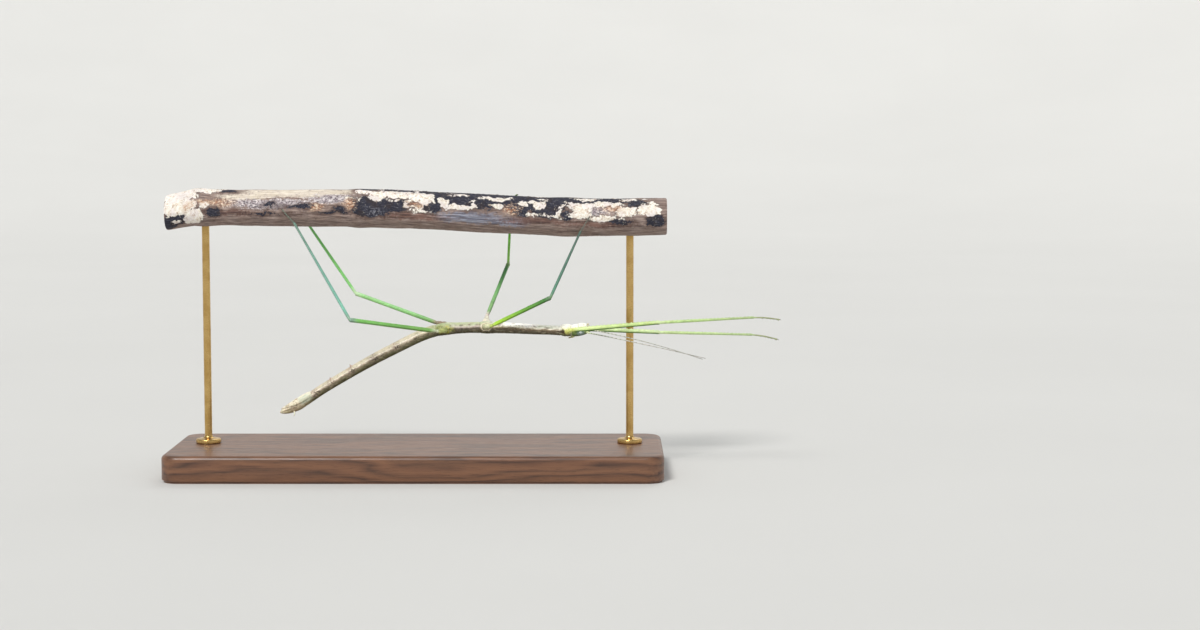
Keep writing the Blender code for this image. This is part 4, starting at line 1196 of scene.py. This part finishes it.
BLUE_WOOD = ((20, -14, 12, 17), (31, -20, 6, 14), (55, 14, 3, 9), (-13, -9, 1.3, 6))
BROWN_STAIN = (
    (-62, -14, 7.5, 10), (-1, -18, 10, 10), (40, -14, 11, 11), (60, -22, 10, 8),
    (-17, 70, 3, 14),
)
# Each kind's number of patches round the back, how much longer they are, and those of the front.
PATCHES = {
    "lichen": (34, 1, LICHEN), "crust": (40, 1, CRUST), "rust": (10, 1, RUST), "pale": (5, 2.2, PALE_WOOD),
    "grey": (6, 2.2, GREY_WOOD), "blue": (4, 2.2, BLUE_WOOD), "stain": (8, 2.2, BROWN_STAIN),
}
PATCH_RADIUS, BARE = 6.3, -3
LICHEN_CRUMBS = 110  # small bits of lichen over the top of the branch


def branch_patches():
    """The patches of each kind: those of the front, and more at random round the back."""
    random = np.random.default_rng(SEED)
    made = {}
    for kind, (count, stretch, patches) in PATCHES.items():
        added = []
        for _ in range(count):
            x, angle = random.uniform(-80, 80), random.uniform(108, 235)
            added.append((x, angle, random.uniform(1.5, 7) * stretch, random.uniform(6, 24)))
        made[kind] = [*patches, *added]
    for _ in range(LICHEN_CRUMBS):
        place = random.uniform(-22, 81), random.uniform(26, 160)
        made["lichen"].append((*place, random.uniform(0.5, 1.7), random.uniform(2, 5.5)))
    return made


def patch_level(patches, x, angle):
    """How far inside the nearest patch a place is, in millimetres, and below 0 outside."""
    level = np.full(x.shape, BARE)
    for place, centre, long, half in patches:
        reach = ((np.abs(x - place) / long) ** 2.5 + (apart(angle, centre) / half) ** 2.5) ** 0.4
        level = np.maximum(level, (1 - reach) * min(long, math.radians(half) * PATCH_RADIUS, 2.5))
    return level


def bark_levels(x, angle, flat):
    """How deep in patches of each kind each place on the bark lies, their outlines made uneven."""
    x = x + 1.3 * cloud(flat, 3.4, 3) + 0.6 * cloud(flat, 1.2, 2, 4)
    angle = angle + 8 * cloud(flat, 3.4, 3, 8) + 4 * cloud(flat, 1.2, 2, 12)
    levels = {kind: patch_level(patches, x, angle) for kind, patches in branch_patches().items()}
    outline = 0.5 - np.abs(patch_level(LICHEN_RINGS, x, angle) - 0.45) * 1.6
    levels["lichen"] = np.maximum(levels["lichen"], outline)
    return levels


def bark_relief(flat, levels):
    """Fibres and cracks in the bare wood, grains of crust and cushions of lichen."""
    fibre = cloud(flat * (0.09, 1, 1), 0.85, 3, 2)
    cracks = smooth((0.16 - np.abs(cloud(flat * (0.07, 1, 1), 1.3, 2, 23))) / 0.16)
    cracks = cracks * smooth(3 * cloud(flat, 5, 2, 27) + 0.2)
    crust, lichen = smooth(levels["crust"] / 0.5 + 0.5), smooth(levels["lichen"] / 0.4 + 0.5)
    bare = (1 - crust) * (1 - lichen)
    made = 0.16 * cloud(flat * (0.35, 1, 1), 4.5, 2, 14) - 0.14
    made += bare * (0.13 * fibre - 0.14 * cracks) + crust * (0.03 + 0.12 * cloud(flat, 0.55, 2, 6))
    return made + lichen * (0.12 + 0.09 * cloud(flat, 0.9, 2, 18))


def make_branch(material):
    low, high = box_of("perch_branch")
    x = np.linspace(low[0], high[0], round((high[0] - low[0]) / BRANCH_STEP) + 1)[:, None]
    angle = around(BRANCH_SIDES)
    c, s = circle(angle)
    radius = branch_radius(x) + 0 * angle
    flat = columns(x, -c * radius, s * radius)
    levels = bark_levels(x, angle, flat)
    rim = smooth(np.minimum(x - low[0], high[0] - x) / 0.5)
    radius += bark_relief(flat, levels) - 0.35 * (1 - rim)
    grid = branch_centre(x) + columns(0, -c, s) * radius[..., None]
    # The sawn ends: rings that shrink to the middle, a little hollow.
    caps = []
    for end, way in ((0, -1), (-1, 1)):
        centre = branch_centre(x[end])
        cap = np.array([centre + (grid[end] - centre) * share for share in CAP_SHARES])
        cap[..., 0] += (0.05 * cloud(cap, 1.1) - 0.06) * way
        caps.append(cap)
    grid = np.concatenate([caps[0][::-1], grid, caps[1]])
    shares, pad = np.array(CAP_SHARES), (len(CAP_SHARES),) * 2
    ends = np.pad(np.zeros(len(x)), pad, constant_values=1)[:, None]
    depths = np.concatenate([shares[::-1], np.ones(len(x)), shares])[:, None]

    def field(name, scale=0.25):
        return np.clip(0.5 + scale * np.pad(levels[name], (pad, (0, 0)), constant_values=BARE), 0, 1)

    cover = columns(field("lichen"), field("crust"), field("rust"))
    wood = columns(field("pale", 0.2), field("blue", 0.2), field("grey", 0.2))
    flow = np.pad(flat, (pad, (0, 0), (0, 0)), mode="edge")
    shell = loft(grid, cover, columns(ends, depths, field("stain", 0.2)), flow)
    shell.marks[-2:, :2] = 1, 0
    wood = np.concatenate([wood.reshape(-1, 3), wood[[0, -1], 0]])
    branch = mesh_object("branch", shell, wood=wood)
    fitted(branch, material, "bark", "perch_branch", sharp=50)


# Stand.


BASE_CORNER, BASE_EDGE, ROD = 6, 1.5, 1.25
WALNUT_HEART, WALNUT_RING = (0, 6, -55), 3.4  # the tree's middle, and the rings' pitch


def make_base(material):
    """A board with round corners, a rounded upper edge and a narrow shadow line at the foot."""
    low, high = box_of("stand_base")
    half, top = (high - low)[:2] / 2, high[2]
    corner, edge = BASE_CORNER, BASE_EDGE
    profile = [(0.7, 0), (0.7, 0.6), (0.15, 0.75), (0, 1), (0, (top - edge) / 2), (0, top - edge)]
    for step in np.radians(np.linspace(12, 90, 8)):
        profile.append((edge * (1 - math.cos(step)), top - edge * (1 - math.sin(step))))
    profile.append((edge + 2, top))
    rings = []
    for inset, height in profile:
        size, bend = half - inset, max(0.5, corner - inset)
        ring = []
        for start, signs in enumerate(((1, 1), (-1, 1), (-1, -1), (1, -1))):
            centre = np.array(signs) * (size - bend)
            c, s = circle(np.linspace(0, 90, 13) + start * 90)
            ring.append(columns(centre[0] + bend * c, centre[1] + bend * s, height))
        rings.append(np.concatenate(ring))
    fitted(mesh_object("base_board", loft(np.array(rings))), material, "board", "stand_base", sharp=35)


def make_rods(material):
    """Brass rods, each turned with its foot, in the place of the model's."""
    for name in SIDES:
        low, high = box_of(f"stand_rod_{name}")
        x, y = (low[:2] + high[:2]) / 2
        foot, tall = (high[0] - low[0]) / 2, high[2] - low[2]
        profile = [(0, foot - 0.15), (0.15, foot), (0.9, foot)]
        for t in (0.4, 0.8, 1.2, 1.57):
            profile.append((0.9 + 0.5 * math.sin(t), foot - 0.5 * (1 - math.cos(t))))
        profile += [(1.5, foot - 1.2), (1.62, ROD + 0.9), (1.8, ROD + 0.35), (2.2, ROD + 0.08), (2.7, ROD)]
        profile += [(height, ROD) for height in np.linspace(6, tall - 0.3, 16)]
        height, radius = np.array([*profile, (tall, ROD - 0.2)]).T[..., None]
        c, s = circle(around(48))
        shell = loft(columns(x + radius * c, y + radius * s, low[2] + height))
        fitted(mesh_object(f"rod_{name}", shell), material, "brass", f"stand_rod_{name}", sharp=40)


# Materials.


class Value:
    """A node's output, which can be added, subtracted and multiplied."""

    def __init__(self, nodes, socket):
        self.nodes, self.socket = nodes, socket

    def __add__(self, other):
        return self.nodes.maths("ADD", self, other)

    def __sub__(self, other):
        return self.nodes.maths("SUBTRACT", self, other)

    def __rsub__(self, other):
        return self.nodes.maths("SUBTRACT", other, self)

    def __mul__(self, other):
        return self.nodes.maths("MULTIPLY", self, other)


class Nodes:
    """A material's node tree, built with short calls. Values are linked, and numbers are set."""

    def __init__(self, name):
        self.material = bpy.data.materials.new(name)
        self.material.use_nodes = True
        self.tree = self.material.node_tree

    def add(self, kind, inputs, output=0, **settings):
        made = self.tree.nodes.new("ShaderNode" + kind)
        for key, value in settings.items():
            setattr(made, key, value)
        self.fill(made, inputs)
        return Value(self, made.outputs[output])

    def fill(self, made, inputs):
        for key, value in inputs.items():
            if isinstance(value, Value):
                self.tree.links.new(value.socket, made.inputs[key])
            else:
                made.inputs[key].default_value = value

    def stored(self, name, output="Color"):
        return self.add("Attribute", {}, output, attribute_name=name)

    def levels(self, name):
        """The three channels of a stored attribute."""
        first = self.add("SeparateColor", {0: self.stored(name)})
        return [Value(self, output) for output in first.socket.node.outputs]

    def place(self, scale, stored=None):
        """Coordinates in millimetres times scale, from the object or from a stored attribute."""
        source = self.stored(stored, "Vector") if stored else self.add("TexCoord", {}, "Object")
        size = np.broadcast_to(scale, 3) / (1 if stored else UNIT)
        return self.add("Mapping", {"Vector": source, "Scale": size.tolist()})

    def noise(self, scale, detail=3, rough=0.55, stored=None):
        inputs = {"Vector": self.place(scale, stored), "Scale": 1, "Detail": detail, "Roughness": rough}
        return self.add("TexNoise", inputs, "Fac")

    def cells(self, scale, feature="F1", random=1, stored=None):
        inputs = {"Vector": self.place(scale, stored), "Scale": 1, "Randomness": random}
        return self.add("TexVoronoi", inputs, "Distance", feature=feature)

    def maths(self, kind, first, second=0):
        return self.add("Math", {0: first, 1: second}, operation=kind)

    def span(self, value, low, high, to_low=0, to_high=1):
        """value from low to high, as a smooth step from to_low to to_high."""
        inputs = {0: value, 1: low, 2: high, 3: to_low, 4: to_high}
        return self.add("MapRange", inputs, interpolation_type="SMOOTHSTEP")

    def mix(self, factor, first, second, kind="MIX"):
        first, second = (v if isinstance(v, Value) else (*linear(v), 1) for v in (first, second))
        return self.add("Mix", {0: factor, 6: first, 7: second}, 2, data_type="RGBA", blend_type=kind)

    def shaded(self, colour, value):
        """A colour times a number."""
        return self.mix(1, colour, self.add("CombineColor", {0: value, 1: value, 2: value}), "MULTIPLY")

    def coated(self, colour, *coats):
        """A colour under coats, each a factor and its colour."""
        for factor, coat in coats:
            colour = self.mix(factor, colour, coat)
        return colour

    def bump(self, height, distance, strength):
        return self.add("Bump", {"Height": height, "Distance": distance * UNIT, "Strength": strength})

    def finish(self, **inputs):
        """Sets the shader's sockets, with _ for the spaces of their names."""
        shader = self.tree.nodes["Principled BSDF"]
        self.fill(shader, {key.replace("_", " "): value for key, value in inputs.items()})
        return self.material


def skin_material(name, coat, subsurface=0):
    """The mesh's own tint, with streaks and clouds, dark dots and crumbs, and pale grains."""
    n = Nodes(name)
    speckle, gloss, grain = n.levels("marks")
    streaks = n.noise((0.7, 4.5, 4.5), stored="flow")
    clouds = n.noise(1.1, 4, 0.6)
    fine = n.noise(7)
    colour = n.shaded(n.stored("tint"), n.span(streaks, 0.25, 0.75, 0.86, 1.12))
    colour = n.shaded(colour, n.span(clouds, 0.25, 0.75, 0.9, 1.08))
    dots = n.cells((2.4, 3.8, 3.8), stored="flow")
    limit = n.span(n.noise((0.45, 0.9, 0.9), stored="flow"), 0.4, 0.68, 0.04, 0.32)
    dot = n.span(limit - dots, 0, 0.1) * speckle
    colour = n.mix(dot * 0.75, colour, n.mix(0.8, colour, (48, 36, 24)))
    crumbs = n.span(n.noise((3.2, 5.5, 5.5), 2, stored="flow"), 0.56, 0.7, 0, 0.5)
    colour = n.mix(crumbs * speckle, colour, n.mix(0.7, colour, (70, 56, 40)))
    pale = n.span(n.cells((4.2, 6.5, 6.5), stored="flow"), 0.3, 0.12) * n.span(clouds, 0.42, 0.62, 0, 0.3)
    colour = n.mix(pale * grain, colour, (244, 240, 222))
    height = fine + streaks * 0.8 + n.span(dots, 0.35, 0.1) * 0.5
    return n.finish(
        Base_Color=colour,
        Roughness=n.span(fine, 0.2, 0.8, 0.5, 0.72) - gloss * 0.3,
        Normal=n.bump(height * grain, 0.05, 0.8),
        Coat_Weight=coat,
        Coat_Roughness=0.35,
        Subsurface_Weight=subsurface,
        Subsurface_Scale=0.4 * UNIT,
    )


def eye_material():
    """Pale blue-grey, clouded, with painted shade towards the rim, under a fine honeycomb."""
    n = Nodes("eye")
    rim = n.levels("marks")[0]
    clouds = n.noise(1.7, 4)
    facets = n.cells(15, "DISTANCE_TO_EDGE", 0.25)
    colour = n.coated(
        n.mix(n.span(clouds, 0.35, 0.65), (158, 172, 176), (206, 216, 214)),
        (n.span(n.noise(6), 0.5, 0.7, 0, 0.4), (118, 126, 118)),
        # painted shade towards the rim
        (n.span(rim, 0.1, 1, 0, 0.8), (96, 108, 98)),
        (n.span(facets, 0.09, 0, 0, 0.3), (60, 56, 46)),
    )
    return n.finish(
        Base_Color=colour,
        Roughness=n.span(clouds, 0.2, 0.8, 0.45, 0.6),
        Normal=n.bump(n.span(facets, 0, 0.3), 0.01, 0.5),
        Coat_Weight=0.2,
        Coat_Roughness=0.35,
    )


def sawn_wood(n, depth, small, ragged):
    """Uneven rings, a browner middle, dark bark round them and splits from it."""
    rings = n.maths("FRACT", depth * 11 + n.noise(0.45, 3, 0.6) * 4.5) + (small - 0.5) * 0.4
    splits = n.maths("ABSOLUTE", n.noise((0, 0.62, 0.62), 2, 0.5, "flow") - 0.5)
    splits = n.span(splits, 0.012, 0.002) * n.span(depth + ragged * 0.4, 0.42, 0.7)
    return n.coated(
        n.mix(n.span(rings, 0.45, 1), (204, 184, 154), (150, 124, 96)),
        (n.span(depth, 0.1, 0.5, 0.6, 0), (142, 112, 84)),
        (n.span(depth, 0.86, 0.95), (96, 78, 66)),
        (n.span(small, 0.55, 0.75, 0, 0.5), (118, 98, 80)),
        (splits * 0.85, (58, 42, 32)),
    )


def bark_material():
    """Weathered wood with patches of pale lichen, black crust, rust and stain, and sawn ends."""
    n = Nodes("bark")
    lichen, crust, rust = n.levels("tint")
    end, depth, stain = n.levels("marks")
    pale, blue, grey = n.levels("wood")
    ragged = n.noise(1.3, 6, 0.66)
    broad = n.noise(0.3, 4, 0.6)
    small = n.noise(5, 4, 0.6)
    fibre = n.noise((0.14, 2.2, 2.2), 6, 0.65, "flow")
    thread = n.noise((0.35, 7, 7), 4, 0.6, "flow")
    flecks = n.noise((0.9, 3.2, 3.2), 3, 0.6, "flow")

    def inside(level, wander, soft=0.03, more=0):
        """Where a patch lies: its level shifted by noise, cut off at its edge."""
        return n.span(level + (ragged - (0.5 - more)) * wander, 0.5 - soft, 0.5 + soft)

    light = n.coated(
        n.mix(n.span(fibre, 0.32, 0.66), (198, 184, 164), (240, 232, 218)),
        (n.span(broad, 0.42, 0.66, 0, 0.5), (196, 182, 172)),
        (n.span(thread, 0.5, 0.72, 0, 0.6), (142, 118, 98)),
    )
    lilac = n.coated(
        n.mix(n.span(ragged, 0.38, 0.62), (140, 128, 134), (220, 212, 212)),
        (n.span(flecks, 0.5, 0.62, 0, 0.85), (54, 48, 60)),
    )
    slate = n.coated(
        n.mix(n.span(fibre, 0.35, 0.62), (88, 92, 110), (168, 172, 188)),
        (n.span(thread, 0.42, 0.66, 0, 0.7), (98, 82, 78)),
    )
    umber = n.mix(n.span(fibre, 0.3, 0.66), (52, 36, 38), (132, 96, 84))
    ochre = n.coated(
        n.mix(n.span(ragged, 0.42, 0.58), (178, 122, 86), (238, 216, 190)),
        (n.span(flecks, 0.44, 0.6, 0, 0.85), (104, 70, 58)),
    )
    spots = n.span(flecks, 0.6, 0.68) * n.span(broad, 0.46, 0.56)
    wood = n.coated(
        n.mix(n.span(fibre, 0.32, 0.66), (98, 82, 78), (182, 163, 154)),
        (n.span(broad, 0.35, 0.65, 0, 0.45), (142, 118, 106)),
        (n.span(thread, 0.42, 0.68, 0, 0.6), (72, 56, 50)),
        (inside(pale, 0.6, 0.12), light),
        (inside(grey, 0.8, 0.1), lilac),
        (inside(blue, 0.6, 0.12), slate),
        (inside(stain, 0.8, 0.15) * 0.85, umber),
        (spots * 0.8, (46, 38, 42)),
        (inside(crust, 0.5, 0.1, 0.28) * 0.6, (80, 60, 56)),
        (inside(rust, 0.8, 0.16) * 0.8, ochre),
    )
    haze = inside(blue, 1.2, 0.16) * n.span(ragged, 0.44, 0.56, 0, 0.8)
    crumbs = n.span(n.cells(1.7), 0.24, 0.1) * n.span(ragged, 0.48, 0.58)
    navy = n.coated(
        n.mix(n.span(small, 0.35, 0.7), (20, 20, 30), (56, 56, 74)),
        (n.span(broad, 0.5, 0.62, 0, 0.6), (52, 42, 42)),
        (n.span(flecks, 0.54, 0.66, 0, 0.5), (104, 106, 118)),
        (haze, n.mix(n.span(small, 0.35, 0.65), (98, 100, 116), (170, 170, 178))),
        (crumbs * 0.85, (206, 200, 188)),
    )
    bared = inside(rust, 1.3, 0.12) * n.span(flecks, 0.42, 0.54, 1, 0.25)
    black = inside(crust, 0.5) * (1 - bared)
    chalk = n.coated(
        n.mix(n.span(ragged, 0.34, 0.6), (222, 208, 188), (250, 246, 238)),
        (n.span(broad, 0.44, 0.6, 0, 0.6), (232, 222, 222)),
        (n.span(n.noise(0.8, 5, 0.7), 0.54, 0.64, 0, 0.75), (172, 142, 118)),
        (n.span(small, 0.58, 0.74, 0, 0.6), (186, 172, 160)),
        (n.span(n.cells(2), 0.16, 0.07, 0, 0.6), (92, 80, 74)),
        (inside(rust, 0.9, 0.1) * n.span(flecks, 0.44, 0.58, 0.25, 0.85), (186, 146, 116)),
    )
    white = inside(lichen, 0.46)
    rim = white * (1 - white) * 2.6
    sawn = sawn_wood(n, depth, small, ragged)
    surface = n.coated(wood, (black, navy), (white, chalk), (rim, (74, 60, 54)), (end, sawn))
    height = fibre + thread * 0.35 + small * black * 1.2 + white * n.span(small, 0.2, 0.8, 0.5, 0.9)
    return n.finish(
        Base_Color=surface,
        Roughness=n.span(small, 0.2, 0.8, 0.78, 0.95),
        Normal=n.bump(height, 0.16, 0.9),
    )


def walnut_material():
    """Flat-sawn walnut: growth rings round an axis far below the board, and pores along it."""
    n = Nodes("walnut")
    sway = n.noise((0.012, 0.06, 0.06))
    grain = n.noise((0.03, 0.9, 0.9), 5, 0.6)
    pores = n.noise((0.22, 5, 5))
    heart = {0: n.place((0, 1, 1)), 1: WALNUT_HEART}
    rings = n.add("VectorMath", heart, "Value", operation="DISTANCE")
    rings = n.maths("DIVIDE", rings, WALNUT_RING) + sway * 6 + grain * 0.6
    rings = n.maths("PINGPONG", rings, 0.5)
    colour = n.coated(
        n.mix(n.span(rings, 0, 0.5), (110, 73, 50), (80, 51, 36)),
        (n.span(rings, 0.36, 0.5, 0, 0.6), (52, 33, 24)),
        (n.span(grain, 0.35, 0.65, 0, 0.5), (126, 86, 59)),
        (n.span(pores, 0.56, 0.7, 0, 0.6), (36, 22, 16)),
    )
    return n.finish(
        Base_Color=colour,
        Roughness=n.span(pores, 0.3, 0.7, 0.38, 0.55),
        Normal=n.bump(pores, 0.06, 0.3),
        Coat_Weight=0.25,
        Coat_Roughness=0.25,
    )


def brass_material():
    """Brass, brushed round the rods and a little clouded."""
    n = Nodes("brass")
    clouds, lines = n.noise(0.25, 4), n.noise((0.6, 0.6, 14))
    return n.finish(
        Base_Color=n.mix(n.span(clouds, 0.35, 0.7), (208, 174, 112), (190, 154, 92)),
        Roughness=n.span(lines, 0.3, 0.7, 0.2, 0.34) + n.span(clouds, 0.4, 0.8, 0, 0.12),
        Normal=n.bump(lines, 0.01, 0.4),
        Metallic=1,
    )


def floor_material():
    n = Nodes("floor")
    clouds = n.noise(0.004)
    colour = n.mix(clouds, (200, 200, 198), (208, 208, 206))
    return n.finish(Base_Color=colour, Roughness=n.span(clouds, 0.2, 0.8, 0.85, 0.95))


# Surroundings.


FLOOR_REACH, FLOOR_BEND, WALL_HEIGHT, FLOOR_SIDES = 1300, 2500, 2800, 96


def make_floor(material):
    """A flat round floor whose edge curves up into a wall, far outside every camera."""
    c, s = circle(np.linspace(5, 90, 18))
    bend = zip(FLOOR_REACH + FLOOR_BEND * s, FLOOR_BEND * (1 - c))
    flat = [(radius, 0) for radius in (200, 600, 1000, FLOOR_REACH)]
    profile = np.array([*flat, *bend, (FLOOR_REACH + FLOOR_BEND, WALL_HEIGHT)])
    radius, height = profile.T[..., None]
    c, s = circle(around(FLOOR_SIDES))
    points = [*columns(radius * c, radius * s, height).reshape(-1, 3), np.zeros(3)]
    quads = loft_faces(len(profile), FLOOR_SIDES)[:-FLOOR_SIDES]  # without a lid on the wall
    mesh = bpy.data.meshes.new("floor")
    mesh.from_pydata([(point * UNIT).tolist() for point in points], [], [face[::-1] for face in quads])
    mesh.materials.append(material)
    mesh.shade_smooth()
    floor = linked("floor", mesh)
    floor.visible_shadow = False


def facing(obj, way):
    """Turns a light or a camera to look that way, its top up."""
    obj.rotation_mode = "QUATERNION"
    obj.rotation_quaternion = way.to_track_quat("-Z", "Y")


def add_sun(name, way_from, strength, angle, colour=(1, 1, 1)):
    """Even light that comes from a direction, soft by the angle that its source fills."""
    light = bpy.data.lights.new(name, "SUN")
    light.energy, light.angle, light.color = strength, math.radians(angle), colour
    facing(linked(name, light), -Vector(way_from))


def make_lights():
    add_sun("key", (-0.38, -0.85, 1), 2.7, 16, (1, 0.98, 0.95))
    add_sun("fill", (1.1, -0.9, 0.5), 0.4, 40, (0.94, 0.97, 1))
    add_sun("rim", (0.3, 1, 1), 0.5, 30)
    world = bpy.data.worlds.new("studio")
    world.use_nodes = True
    background = world.node_tree.nodes["Background"]
    background.inputs["Color"].default_value = (0.94, 0.97, 1, 1)
    background.inputs["Strength"].default_value = 0.4
    bpy.context.scene.world = world


def make_camera():
    """Looks along +Y and a little down, as far off as the lens needs for the view's width."""
    data = bpy.data.cameras.new("camera")
    data.lens, data.sensor_width = LENS, SENSOR
    data.clip_start, data.clip_end = 0.01, 10
    camera = linked("camera", data)
    tilt = math.radians(ELEVATION)
    ahead = Vector((0, math.cos(tilt), -math.sin(tilt)))
    camera.location = (Vector(TARGET) - ahead * VIEW_WIDTH * LENS / SENSOR) * UNIT
    facing(camera, ahead)
    bpy.context.scene.camera = camera


make_camera()
make_lights()
make_floor(floor_material())
bpy.context.scene.view_settings.view_transform = "Standard"

horn = skin_material("horn", 0.15)
make_claws(make_skin(skin_material("skin", 0.12, 0.05)), horn)
make_horns(horn)
make_eyes(eye_material())
make_branch(bark_material())
make_base(walnut_material())
make_rods(brass_material())
